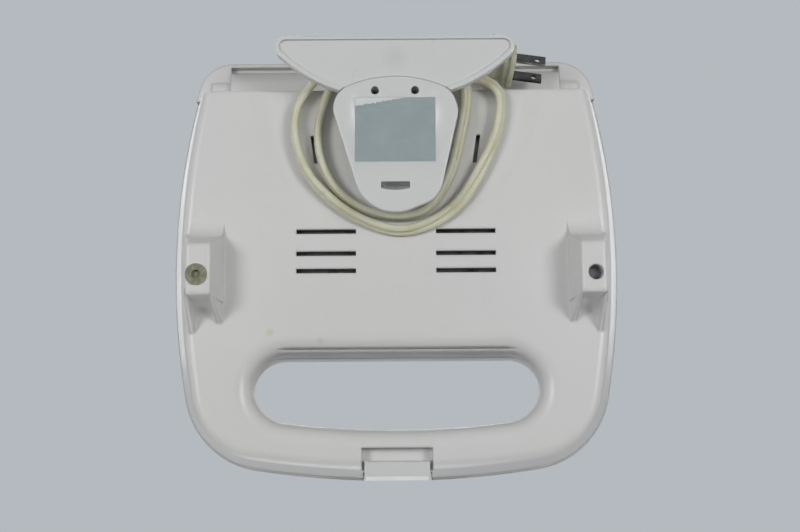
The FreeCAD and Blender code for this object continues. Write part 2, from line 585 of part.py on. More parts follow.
def make_base_housing():
    """The base: a shell with two foot posts, vents, a hinge hump and the catch for the latch."""
    body = new_body("base_housing")
    under = base_outline(body, "UnderOutline", of("under_level"), "0", True)
    rim = base_outline(body, "RimOutline", of("rim_level"), "0", False)
    loft(body, "Additive", under, rim, "Shell")
    under_z, rear_y = number(of("under_level")), number(of("base_rear"))
    dress(body, "Fillet", "UnderEdge", of("under_edge_radius"),
          lambda p: near(p.z, under_z) and not (near(p.y, rear_y) and abs(p.x) < 60.0))
    floor = base_outline(body, "FloorOutline", of("floor_level"), "wall", True)
    mouth = base_outline(body, "MouthOutline", of("rim_level"), "wall", False)
    loft(body, "Subtractive", floor, mouth, "Hollow")
    frame_seat = of("rim_level - frame_thickness - frame_gap")
    rebate = base_outline(body, "RebateOutline", frame_seat, "rebate_wall", False)
    pocket(body, rebate, "Rebate", of("frame_thickness + frame_gap + 1"))
    # wall round the hand opening
    ring = grip_outline(body, "GripWallOutline", of("floor_level - 1"), "grip_wall")
    pad(body, ring, "GripWall", of("rim_level - frame_thickness - frame_gap - floor_level + 1"))
    # solid block behind the latch recess
    catch = Profile(body, "CatchOutline", level=of("floor_level - 1"))
    catch.rectangle(of("-block_half"), of("under_front + 1"), of("block_half"), of("grip_front"))
    pad(body, catch, "CatchBlock", of("rim_level - frame_thickness - frame_gap - floor_level + 1"))
    grip = grip_outline(body, "GripOutline", of("under_level - 1"), word="grip")
    pocket(body, grip, "Grip", of("grip_edge_radius + 1.5"))
    waist = grip_outline(body, "GripWaistOutline", of("under_level + grip_edge_radius + 0.4"),
                         word="grip")
    mouth = grip_outline(body, "GripMouthOutline", of("rim_level + 0.4"))
    loft(body, "Subtractive", waist, mouth, "GripFlare")
    dress_grip(body, under_z, "grip", "grip_edge_radius")
    recess = Profile(body, "RecessOutline", level=of("under_level - 3"))
    recess.rectangle(of("-recess_half"), of("rim_front - 8"), of("recess_half"), of("recess_rear"))
    pocket(body, recess, "Recess", of("recess_level - under_level + 3"))
    notch = Profile(body, "NotchOutline", level=of("under_level - 3"))
    notch.rectangle(of("-recess_half"), of("rim_front - 8"), of("recess_half"), of("notch_front"))
    pocket(body, notch, "Notch", of("rim_level - under_level + 6"))
    post_z = number(of("post_level"))
    # foot posts, each braced in front by two fins that run down into the underside
    for side, sign in SIDES:
        foot = Profile(body, side.title() + "PostFace", level=of("post_level"))
        foot.rectangle(of(sign + "post_inner"), of("post_front"), of(sign + "post_outer"),
                       of("post_rear"))
        root = Profile(body, side.title() + "PostRoot", level=of("floor_level"))
        root.rectangle(of(sign + "root_inner"), of("root_front"), of(sign + "root_outer"),
                       of("root_rear"))
        loft(body, "Additive", foot, root, side.title() + "Post")
        flip = -1.0 if sign else 1.0
        inner, outer = number(of("post_inner")), number(of("post_outer"))
        dress(body, "Fillet", side.title() + "PostEdge", of("post_edge"),
              lambda p: near(p.z, post_z) and inner - 0.1 < flip * p.x < outer + 0.1)
        for place in ("inner", "outer"):
            tip = Profile(body, "%s%sFinTip" % (side.title(), place.title()), level=3.0)
            tip.rectangle(of("%s%s_fin_near" % (sign, place)), of("post_front - 0.4"),
                          of("%s(%s_fin_near + 1)" % (sign, place)), of("post_front + 3"))
            toe = Profile(body, "%s%sFinToe" % (side.title(), place.title()),
                          level=of("under_level + 0.6"))
            toe.rectangle(of("%s%s_fin_start" % (sign, place)), of(place + "_fin_front"),
                          of("%s(%s_fin_start + fin_width)" % (sign, place)),
                          of("post_front + 3"))
            loft(body, "Additive", tip, toe, side.title() + place.title() + "Fin")
    # hinge hump along the rear
    hump = Profile(body, "HumpOutline", "YZ_Plane")
    hump_outline(hump, of("base_rear - 2"), of("rim_level"))
    pad(body, hump, "Hump", of("2 * hump_half"), both=True)
    for side, sign in SIDES:
        bore = Profile(body, side.title() + "PinBore", "YZ_Plane", of(sign + "pin_inner"))
        bore.circle(of("hinge_y"), of("hinge_level"), of("hinge_pin / 2"))
        pocket(body, bore, side.title() + "HingeBore", 20.0, up=sign == "")
    dress(body, "Fillet", "RearEdge", of("rear_edge_radius"),
          lambda p: near(p.z, under_z) and near(p.y, rear_y))
    # studs that carry the pan behind the plate
    studs = Profile(body, "StudOutlines", level=of("floor_level - 1"))
    for side, sign in SIDES:
        for y in ("plate_middle - stud_y", "plate_middle + stud_y"):
            studs.circle(of(sign + "stud_x"), of(y), of("stud / 2"))
    pad(body, studs, "Studs",
        of("parting_level - plate_gap - plate_thickness - pan_depth - floor_level + 1"))
    # dish round the cord wrap, with a sloping edge
    wide = Profile(body, "DishRim", level=of("under_level - 0.1"))
    wide.circle(0.0, of("base_rear"), of("dish_radius"))
    deep = Profile(body, "DishFloor", level=of("dish_level"))
    deep.circle(0.0, of("base_rear"), of("dish_floor_radius"))
    loft(body, "Subtractive", wide, deep, "Dish")
    # vents
    slots = Profile(body, "VentOutlines", level=of("under_level - 1"))
    for row in ("vent_rear", "vent_middle", "vent_front"):
        for side, sign in SIDES:
            slots.rectangle(of(sign + "vent_inner"), of(row + " - vent_width / 2"),
                            of(sign + "vent_outer"), of(row + " + vent_width / 2"))
    for side, sign in SIDES:
        slots.polygon([(of(sign + "slit_x"), of("slit_front")),
                       (of(sign + "(slit_x + slit_width)"), of("slit_front")),
                       (of(sign + "(slit_x + slit_width + slit_lean)"), of("slit_rear")),
                       (of(sign + "(slit_x + slit_lean)"), of("slit_rear"))])
    pocket(body, slots, "Vents", of("floor_level - under_level + 2"))
    # foot sockets and the screw holes above them
    sockets = Profile(body, "SocketOutlines", level=0.0)
    seats = Profile(body, "ScrewSeatOutlines", level=0.0)
    shafts = Profile(body, "ScrewHoleOutlines", level=0.0)
    for side, sign in SIDES:
        sockets.circle(of(sign + "foot_x"), of("foot_y"), of("foot_bore / 2"))
        seats.circle(of(sign + "foot_x"), of("foot_y"), of("screw_head / 2 + 0.2"))
        shafts.circle(of(sign + "foot_x"), of("foot_y"), of("screw_bore / 2"))
    pocket(body, sockets, "Sockets", of("post_level + foot_bore_depth"))
    pocket(body, seats, "ScrewSeats", of("post_level + foot_bore_depth + screw_head_height"))
    pocket(body, shafts, "ScrewHoles", of("floor_level + 1"))
    # holes for the cord wrap's screws and for the cord
    wraps = Profile(body, "WrapScrewOutlines", level=of("under_level"))
    for side, sign in SIDES:
        wraps.circle(of(sign + "cover_screw_x"), of("cover_screw_y"), of("wrap_screw / 2"))
    pocket(body, wraps, "WrapScrewHoles", of("floor_level - under_level + 1"))
    outlet = Profile(body, "CordOutlet", "XZ_Plane", of("base_rear - wall - 1"))
    outlet.circle(of("relief_x"), of("relief_level"), of("relief_bore / 2"))
    pocket(body, outlet, "Outlet", of("wall + 3"), up=False)
    return body


def make_lid_housing():
    """The lid: a deeper shell with a rear lip, hinge ears, a latch notch and two lamp holes."""
    body = new_body("lid_housing")
    rim = lid_outline(body, "RimOutline", of("lid_rim_level"), "0")
    top = lid_outline(body, "TopOutline", of("top_level"), "0", top=True)
    loft(body, "Additive", rim, top, "Shell")
    top_z, rim_z = number(of("top_level")), number(of("lid_rim_level"))
    dress(body, "Fillet", "TopEdge", of("top_edge_radius"), lambda p: near(p.z, top_z))
    # the rear wall comes down behind the hinge hump and ends in a lip
    skirt = lid_outline(body, "SkirtOutline", of("lip_level"), "0")
    pad(body, skirt, "Skirt", of("lid_rim_level - lip_level"))
    clear = Profile(body, "SkirtClearOutline", level=of("lip_level - 1"))
    clear.rectangle(of("-lid_half - 9"), of("lid_front - 9"), of("lid_half + 9"), of("lip_start"))
    pocket(body, clear, "SkirtClear", of("lid_rim_level - lip_level + 1"))
    cove = Profile(body, "CoveOutline", level=of("lip_level - 1"))
    cove.rectangle(of("-hump_half - 0.6"), of("lip_start - 1"), of("hump_half + 0.6"),
                   of("lid_rear - lip_wall"))
    pocket(body, cove, "Cove", of("shelf_level - lip_level + 1"))
    # hollow in front of the hinge, and the space round the hump
    mouth = lid_outline(body, "MouthOutline", of("lid_rim_level"), "wall", rear="base_rear",
                        square=True)
    ceiling = lid_outline(body, "CeilingOutline", of("ceiling_level"), "wall", top=True,
                          rear="base_rear", square=True)
    loft(body, "Subtractive", mouth, ceiling, "Hollow")
    rebate = lid_outline(body, "RebateOutline", of("lid_rim_level - 1"), "rebate_wall",
                         rear="base_rear", square=True)
    pocket(body, rebate, "Rebate", of("frame_thickness + frame_gap + 1"))
    room = Profile(body, "HingeRoomOutline", level=of("shelf_level + 2.4"))
    room.rectangle(of("-hump_half - 0.6"), of("base_rear - wall - 2"), of("hump_half + 0.6"),
                   of("top_rear - wall"))
    pocket(body, room, "HingeRoom", of("ceiling_level - shelf_level - 6"))
    round_room = Profile(body, "HumpRoomOutline", "YZ_Plane")
    round_room.circle(of("hinge_y"), of("hinge_level"), of("hump_radius + hump_gap"))
    pocket(body, round_room, "HumpRoom", of("2 * hump_half + 1.2"), both=True)
    for side, sign in SIDES:
        ear = Profile(body, side.title() + "EarOutline", "YZ_Plane", of(sign + "(hump_half + 0.6)"))
        ear.circle(of("hinge_y"), of("hinge_level"), of("ear_radius"))
        pad(body, ear, side.title() + "Ear", of("pin_outer - hump_half + 1"), up=sign == "")
        bore = Profile(body, side.title() + "PinBore", "YZ_Plane", of(sign + "hump_half"))
        bore.circle(of("hinge_y"), of("hinge_level"), of("hinge_pin / 2 + hinge_pin_gap"))
        pocket(body, bore, side.title() + "HingeBore", of("pin_outer - hump_half + 0.3"),
               up=sign == "")
    # wall round the hand opening and the solid block that carries the latch
    seat = of("lid_rim_level + frame_thickness + frame_gap")
    ring = grip_outline(body, "GripWallOutline", seat, "grip_wall")
    pad(body, ring, "GripWall", of("ceiling_level + 1 - lid_rim_level - frame_thickness - frame_gap"))
    block = Profile(body, "LatchBlockOutline", level=seat)
    block.rectangle(of("-block_half"), of("top_front + 4"), of("block_half"), of("mouth_front"))
    pad(body, block, "LatchBlock",
        of("ceiling_level + 1 - lid_rim_level - frame_thickness - frame_gap"))
    grip = grip_outline(body, "GripOutline", of("lid_rim_level - 1"))
    pocket(body, grip, "Grip", of("top_level - lid_rim_level + 2"))
    dress_grip(body, top_z, "mouth", "grip_top_radius")
    notch = Profile(body, "NotchOutline", "YZ_Plane")
    notch.polygon([(of("lid_front - 6"), of("lid_rim_level - 1")),
                   (of("notch_front"), of("lid_rim_level - 1")),
                   (of("notch_front"), of("lid_rim_level + 3")),
                   (of("latch_pivot_y + latch_boss + 1"), of("latch_pivot_level - latch_boss")),
                   (of("latch_pivot_y + latch_boss + 1"), of("latch_pivot_level + latch_boss + 1")),
                   (of("lid_front - 6"), of("latch_pivot_level + latch_boss + 1"))])
    pocket(body, notch, "Notch", of("2 * recess_half"), both=True)
    pivot = Profile(body, "PivotBoreOutline", "YZ_Plane")
    pivot.circle(of("latch_pivot_y"), of("latch_pivot_level"), of("latch_pin / 2"))
    pocket(body, pivot, "PivotBore", of("2 * latch_pin_half"), both=True)
    studs = Profile(body, "StudOutlines", level=of("ceiling_level + 1"))
    for side, sign in SIDES:
        for y in ("plate_middle - stud_y", "plate_middle + stud_y"):
            studs.circle(of(sign + "stud_x"), of(y), of("stud / 2"))
    pad(body, studs, "Studs",
        of("ceiling_level + 1 - parting_level - plate_gap - plate_thickness - pan_depth"), up=False)
    lamps = Profile(body, "LampHoleOutlines", level=of("ceiling_level - 1"))
    for side, sign in SIDES:
        lamps.circle(of(sign + "lamp_x"), of("lamp_y"), of("lens_radius"))
    pocket(body, lamps, "LampHoles", of("top_level - ceiling_level + 2"))


def make_frame(name, lower):
    """The flat inner frame that closes a housing round its plate and carries it."""
    body = new_body(name)
    if lower:
        level = of("rim_level - frame_gap - frame_thickness")
        profile = Profile(body, "FrameOutline", level=level)
        word, front, half = "rim", "rim_front", "rim_half"
    else:
        level = of("lid_rim_level + frame_gap")
        profile = Profile(body, "FrameOutline", level=level)
        word, front, half = "lid", "lid_front", "lid_half"
    inset = of("(rebate_wall + 0.15)")
    side = "rim_side_radius - " if lower else "lid_side_radius - "
    corner = "rim_corner - " if lower else "lid_corner - "
    housing_outline(profile, of(half + " - ") + inset, of(front + " + ") + inset,
                    of("base_rear - wall - 0.3"), of(side) + inset, of(corner) + inset,
                    of("nose_radius - ") + inset)
    pad(body, profile, "Frame", of("frame_thickness"))
    window = Profile(body, "WindowOutline", level=of("rim_level - 9"))
    gap = "plate_corner + frame_plate_gap"
    round_rectangle(window, of("plate_half + frame_plate_gap"), of("plate_front - frame_plate_gap"),
                    of("plate_rear + frame_plate_gap"), of(gap))
    pocket(body, window, "Window", 22.0)
    grip = grip_outline(body, "GripOutline", of("rim_level - 9"))
    pocket(body, grip, "Grip", 22.0)
    if lower:
        bosses = Profile(body, "BossOutlines", level=of("floor_level"))
        bores = Profile(body, "BoreOutlines", level=of("floor_level"))
        for side, sign in SIDES:
            bosses.circle(of(sign + "foot_x"), of("foot_y"), of("boss / 2"))
            bores.circle(of(sign + "foot_x"), of("foot_y"), of("boss_bore / 2"))
        pad(body, bosses, "Bosses", of("rim_level - frame_gap - frame_thickness - floor_level"))
        pocket(body, bores, "Bores", 20.0)
    notch = Profile(body, "NotchOutline", level=of("rim_level - 9"))
    notch.rectangle(of("-recess_half"), of("lid_front - 6"), of("recess_half"), of("notch_front"))
    pocket(body, notch, "Notch", 22.0)
    return body


class Half:
    """One half of the press: its plates and what lies behind them, below or above the parting."""

    def __init__(self, word, lower):
        self.word = word
        self.lower = lower
        self.sign = "-" if lower else "+"

    def level(self, depth):
        """The height of a place a given depth behind the plate's face."""
        return of("parting_level %s (plate_gap + %s)" % (self.sign, depth))

    def grow(self, body, profile, name, length):
        """A pad away from the parting plane."""
        return pad(body, profile, name, length, up=not self.lower)

    def sink(self, body, profile, name, length):
        """A pocket away from the parting plane."""
        return pocket(body, profile, name, length, up=not self.lower)

    def make_plate(self):
        """The cast grill plate: a tray with a rim, ridges that run front to rear, and bosses."""
        body = new_body(self.word + "_plate")
        face = Profile(body, "PlateOutline", level=self.level("0"))
        round_rectangle(face, of("plate_half"), of("plate_front"), of("plate_rear"),
                        of("plate_corner"))
        self.grow(body, face, "Plate", of("plate_thickness"))
        well = Profile(body, "WellOutline", level=self.level("0"))
        round_rectangle(well, of("plate_half - well_margin"), of("plate_front + well_margin"),
                        of("plate_rear - well_margin"), of("plate_corner - 4"))
        self.sink(body, well, "Well", of("well_depth"))
        ridges = Profile(body, "RidgeOutlines", level=self.level("well_depth - ridge_height"))
        count = int((number(of("plate_half")) - 12.0) / number(of("ridge_pitch")))
        for i in range(-count, count + 1):
            middle = "%d * ridge_pitch" % i
            ridges.rectangle(of(middle + " - ridge_width / 2"), of("plate_front + well_margin + 4"),
                             of(middle + " + ridge_width / 2"), of("plate_rear - well_margin - 4"))
        self.grow(body, ridges, "Ridges", of("ridge_height + 0.2"))
        bosses = Profile(body, "BossOutlines", level=self.level("plate_thickness - 1"))
        for side, sign in SIDES:
            for y in ("plate_screw_y", "2 * plate_middle - plate_screw_y"):
                bosses.circle(of(sign + "plate_screw_x"), of(y), of("plate_boss / 2"))
        self.grow(body, bosses, "Bosses", of("pan_depth - pan_sheet + 1"))
        bores = Profile(body, "BoreOutlines", level=self.level("plate_thickness + pan_depth"))
        for side, sign in SIDES:
            for y in ("plate_screw_y", "2 * plate_middle - plate_screw_y"):
                bores.circle(of(sign + "plate_screw_x"), of(y), 1.25)
        pocket(body, bores, "Bores", of("pan_depth"), up=self.lower)

    def make_reflector(self):
        """The sheet-metal pan behind the plate that throws the heat back."""
        body = new_body(self.word + "_reflector")
        outside = Profile(body, "PanOutline", level=self.level("plate_thickness"))
        round_rectangle(outside, of("pan_half"), of("pan_front"), of("pan_rear"), 10.0)
        self.grow(body, outside, "Pan", of("pan_depth"))
        inside = Profile(body, "PanHollowOutline", level=self.level("plate_thickness"))
        round_rectangle(inside, of("pan_half - pan_sheet"), of("pan_front + pan_sheet"),
                        of("pan_rear - pan_sheet"), of("10 - pan_sheet"))
        self.sink(body, inside, "PanHollow", of("pan_depth - pan_sheet"))
        holes = Profile(body, "PanHoleOutlines", level=self.level("plate_thickness"))
        for side, sign in SIDES:
            for y in ("plate_screw_y", "2 * plate_middle - plate_screw_y"):
                holes.circle(of(sign + "plate_screw_x"), of(y), 1.8)
            holes.circle(of(sign + "(heater_half - 12)"), of("heater_rear + 8"), 3.0)
        self.sink(body, holes, "PanHoles", of("pan_depth + 1"))

    def make_heater(self):
        """The tubular heating element: a U of steel tube with a terminal pin at each end."""
        body = new_body(self.word + "_heater")
        depth = "(plate_thickness + heater_tube / 2)"
        path = Profile(body, "TubePath", level=self.level(depth))
        half, bend = number(of("heater_half")), number(of("heater_bend"))
        front, rear = number(of("heater_front")), number(of("heater_rear"))
        quarter = math.pi / 2
        corners = (Vector(bend - half, front + bend, 0), Vector(half - bend, front + bend, 0))
        steps = (Part.LineSegment(Vector(-half, rear, 0), Vector(-half, front + bend, 0)),
                 Part.ArcOfCircle(Part.Circle(corners[0], Vector(0, 0, 1), bend),
                                  2 * quarter, 3 * quarter),
                 Part.LineSegment(Vector(bend - half, front, 0), Vector(half - bend, front, 0)),
                 Part.ArcOfCircle(Part.Circle(corners[1], Vector(0, 0, 1), bend), -quarter, 0.0),
                 Part.LineSegment(Vector(half, front + bend, 0), Vector(half, rear, 0)))
        for step in steps:
            path.sketch.addGeometry(step, False)
        for i in range(len(steps) - 1):
            path.sketch.addConstraint(Sketcher.Constraint("Tangent", i, 2, i + 1, 1))
        path.radius(1, of("heater_bend"))
        path.radius(3, of("heater_bend"))
        path.pin(0, 1, of("-heater_half"), of("heater_rear"))
        path.pin(4, 2, of("heater_half"), of("heater_rear"))
        path.pin(2, 1, None, of("heater_front"))
        for item, kind in ((0, "Vertical"), (2, "Horizontal"), (4, "Vertical")):
            path.sketch.addConstraint(Sketcher.Constraint(kind, item))
        ring = Profile(body, "TubeSection", "XZ_Plane", of("heater_rear"))
        ring.circle(of("-heater_half"), self.level(depth), of("heater_tube / 2"))
        tube = body.newObject("PartDesign::AdditivePipe", "Tube")
        tube.Profile = ring.sketch
        tube.Spine = path.sketch
        doc.recompute()
        landed(body, tube)
        for side, sign in SIDES:
            pin = Profile(body, side.title() + "PinSection", "XZ_Plane", of("heater_rear - 2"))
            pin.circle(of(sign + "heater_half"), self.level(depth), 1.2)
            pad(body, pin, side.title() + "Pin", of("terminal_length + 2"), up=False)

    def make_screws(self):
        """Four pan-head screws that hold the reflector to the plate's bosses."""
        name = self.word + "_plate_screws"
        screws = []
        for side, sign in SIDES:
            for place, y in (("rear", "plate_screw_y"), ("front", "2 * plate_middle - plate_screw_y")):
                x = of(sign + "plate_screw_x")
                base = self.level("(plate_thickness + pan_depth)")
                screws.append(make_screw("%s_%s_%s" % (name, side, place), x, of(y), base,
                                         "plate_screw", self.lower))
        gather(name, screws)


def primitive(kind, name, x, y, level, **sizes):
    """A Part primitive at a place, with its sizes bound to the sheet."""
    item = doc.addObject("Part::" + kind, name)
    item.Label = name
    for size_name, size in sizes.items():
        setattr(item, size_name, number(size))
        bind(item, size_name, size)
    item.Placement = FreeCAD.Placement(Vector(number(x), number(y), number(level)),
                                       FreeCAD.Rotation())
    for axis, size in (("x", x), ("y", y), ("z", level)):
        bind(item, "Placement.Base." + axis, size)
    return item


def make_screw(name, x, y, level, word, head_below=True):
    """A screw with its head's inner face at a level; head_below puts the head under it."""
    shank, length = (word, word + "_length")
    if word == "screw":
        shank = "screw_shank"
    if head_below:
        head_level, shank_level = "%s - Sizes.%s_head_height" % (level, word), level + " - 0.5"
    else:
        head_level, shank_level = level, "%s - Sizes.%s" % (level, length)
    top = primitive("Cylinder", name + "_head", x, y, head_level, Radius=of(word + "_head / 2"),
                    Height=of(word + "_head_height"))
    stem = primitive("Cylinder", name + "_shank", x, y, shank_level, Radius=of(shank + " / 2"),
                     Height=of(length + " + 0.5"))
    screw = doc.addObject("Part::Fuse", name)
    screw.Base = top
    screw.Tool = stem
    return screw


def gather(name, pieces):
    """One part that holds several separate solids."""
    group = doc.addObject("Part::Compound", name)
    group.Label = name
    group.Links = pieces
    parts.append(group)
    return group


def cut(name, base, tools):
    """A part made of a primitive with others taken out of it."""
    for i, tool in enumerate(tools):
        result = doc.addObject("Part::Cut", name if i == len(tools) - 1 else "%s_%d" % (name, i))
        result.Base = base
        result.Tool = tool
        base = result
    base.Label = name
    parts.append(base)
    return base


# ---------------------------------------------------------------- cord wrap

def make_hub():
    """The hub between the cover and the base, which the cord is wound round."""
    body = new_body("cord_hub")
    foot = Profile(body, "HubOutline", level=of("cover_thickness"))
    cover_outline(foot, "hub_inset")
    pad(body, foot, "Hub", of("dish_level - cover_thickness"))
    rear = Profile(body, "HubRearOutline", level=0.0)
    rear.rectangle(of("-cover_half - 5"), of("hub_rear"), of("cover_half + 5"), of("cover_top + 5"))
    pocket(body, rear, "HubRear", of("dish_level + 1"))
    well = Profile(body, "SlotWellOutline", level=of("cover_thickness - 1"))
    well.rectangle(of("-slot_half"), of("slot_front"), of("slot_half"), of("slot_rear"))
    pocket(body, well, "SlotWell", of("slot_well + 1"))


def make_cover():
    """The tongue that keeps the cord on the hub, with two screw wells and a slot."""
    body = new_body("cord_cover")
    face = Profile(body, "CoverOutline", level=0.0)
    cover_outline(face, "0")
    pad(body, face, "Cover", of("cover_thickness"))
    back = number(of("cover_thickness"))
    dress(body, "Fillet", "CoverEdge", of("cover_edge"), lambda p: near(p.z, 0.0))
    wells = Profile(body, "WellOutlines", level=0.0)
    for side, sign in SIDES:
        wells.circle(of(sign + "cover_screw_x"), of("cover_screw_y"), of("cover_screw_bore / 2"))
    pocket(body, wells, "ScrewWells", back + 1.0)
    slot = Profile(body, "SlotOutline", level=0.0)
    bowed_slot(slot, of("slot_half"), of("slot_front"), of("slot_rear"), of("slot_bow_radius"))
    pocket(body, slot, "Slot", back + 1.0)
    seat = Profile(body, "StickerSeat", level=0.0)
    seat.rectangle(of("-sticker_half"), of("sticker_front"), of("sticker_half"),
                   of("sticker_rear"))
    pocket(body, seat, "StickerRecess", of("sticker_depth"))


def make_stand():
    """The half-moon stand: a raised rim round a sunk panel, on a neck that is screwed down."""
    body = new_body("rear_stand")
    face = Profile(body, "StandOutline", level=0.0)
    bowed_outline(face, of("stand_rear"), of("stand_front"), of("stand_corner"), of("stand_radius"))
    pad(body, face, "Stand", of("stand_back"))
    edge = Profile(body, "RearEdgeOutline", level=-1.0)
    edge.rectangle(of("-ear_start"), of("stand_rear - ear_height"), of("ear_start"),
                   of("stand_rear + 2"))
    pocket(body, edge, "RearEdge", of("stand_back + 2"))
    dress(body, "Fillet", "StandEdge", of("stand_edge"), lambda p: near(p.z, 0.0))
    panel = Profile(body, "PanelOutline", level=0.0)
    bowed_outline(panel, of("stand_rear - stand_rim"), of("stand_front + stand_rim"),
                  of("panel_corner"), of("stand_radius - stand_rim"))
    pocket(body, panel, "Panel", of("panel_depth"))
    seat = Profile(body, "CoverSeatOutline", level=0.0)
    cover_outline(seat, "-0.3")
    pocket(body, seat, "CoverSeat", of("panel_level"))
    neck = Profile(body, "NeckOutline", level=of("panel_level"))
    neck.rectangle(of("-neck_half"), of("hub_rear + 0.2"), of("neck_half"), of("neck_rear"))
    pad(body, neck, "Neck", of("dish_level - panel_level"))
    wells = Profile(body, "ScrewOutlines", level=of("panel_level - 1"))
    for side, sign in SIDES:
        wells.circle(of(sign + "cover_screw_x"), of("cover_screw_y"), of("cover_screw_bore / 2"))
    pocket(body, wells, "ScrewWells", of("wrap_screw_well + 1"))
    holes = Profile(body, "ScrewHoleOutlines", level=of("panel_level - 1"))
    for side, sign in SIDES:
        holes.circle(of(sign + "cover_screw_x"), of("cover_screw_y"), 1.6)
    pocket(body, holes, "ScrewHoles", of("dish_level"))


def make_latch():
    """The latch clip: a leg that hangs from its pin and hooks under the base's recess."""
    body = new_body("latch_clip")
    side = Profile(body, "ClipOutline", "YZ_Plane")
    pivot_y, pivot_z = "latch_pivot_y", "latch_pivot_level"
    foot_z, land_z = of("recess_level - clip_depth"), of("recess_level - 0.4")
    side.polygon([(of("clip_hook"), of("recess_level - clip_depth + 0.8")),
                  (of("clip_heel"), foot_z), (of("clip_toe"), foot_z),
                  (of("clip_face"), of("recess_level - clip_depth + clip_chamfer")),
                  (of("clip_face"), of("rim_level + 2")),
                  (of(pivot_y + " - latch_boss"), of(pivot_z)), (of(pivot_y), of(pivot_z)),
                  (of("clip_back"), of("rim_level + 4")), (of("clip_back"), land_z),
                  (of("clip_hook"), land_z)])
    pad(body, side, "Leg", of("2 * latch_half"), both=True)
    clip_x, hook_y = number(of("latch_half")), number(of("clip_hook"))
    dress(body, "Fillet", "ClipEdge", of("clip_edge"),
          lambda p: near(abs(p.x), clip_x) and p.y < hook_y - 0.1 and p.z < 60.0)
    boss = Profile(body, "BossOutline", "YZ_Plane")
    boss.circle(of(pivot_y), of(pivot_z), of("latch_boss"))
    pad(body, boss, "Boss", of("2 * latch_half"), both=True)
    bore = Profile(body, "BoreOutline", "YZ_Plane")
    bore.circle(of(pivot_y), of(pivot_z), of("latch_pin / 2 + 0.1"))
    pocket(body, bore, "Bore", of("2 * latch_half + 2"), both=True)
    pin = new_body("latch_pin")
    round_pin = Profile(pin, "PinOutline", "YZ_Plane")
    round_pin.circle(of(pivot_y), of(pivot_z), of("latch_pin / 2"))
    pad(pin, round_pin, "Pin", of("2 * latch_pin_half"), both=True)


def make_hinge_pins():
    """Two steel pins through the lid's ears into the ends of the hump."""
    for side, sign in SIDES:
        body = new_body("hinge_pin_" + side)
        profile = Profile(body, "PinOutline", "YZ_Plane", of(sign + "pin_inner"))
        profile.circle(of("hinge_y"), of("hinge_level"), of("hinge_pin / 2"))
        pad(body, profile, "Pin", of("pin_outer - pin_inner"), up=sign == "")


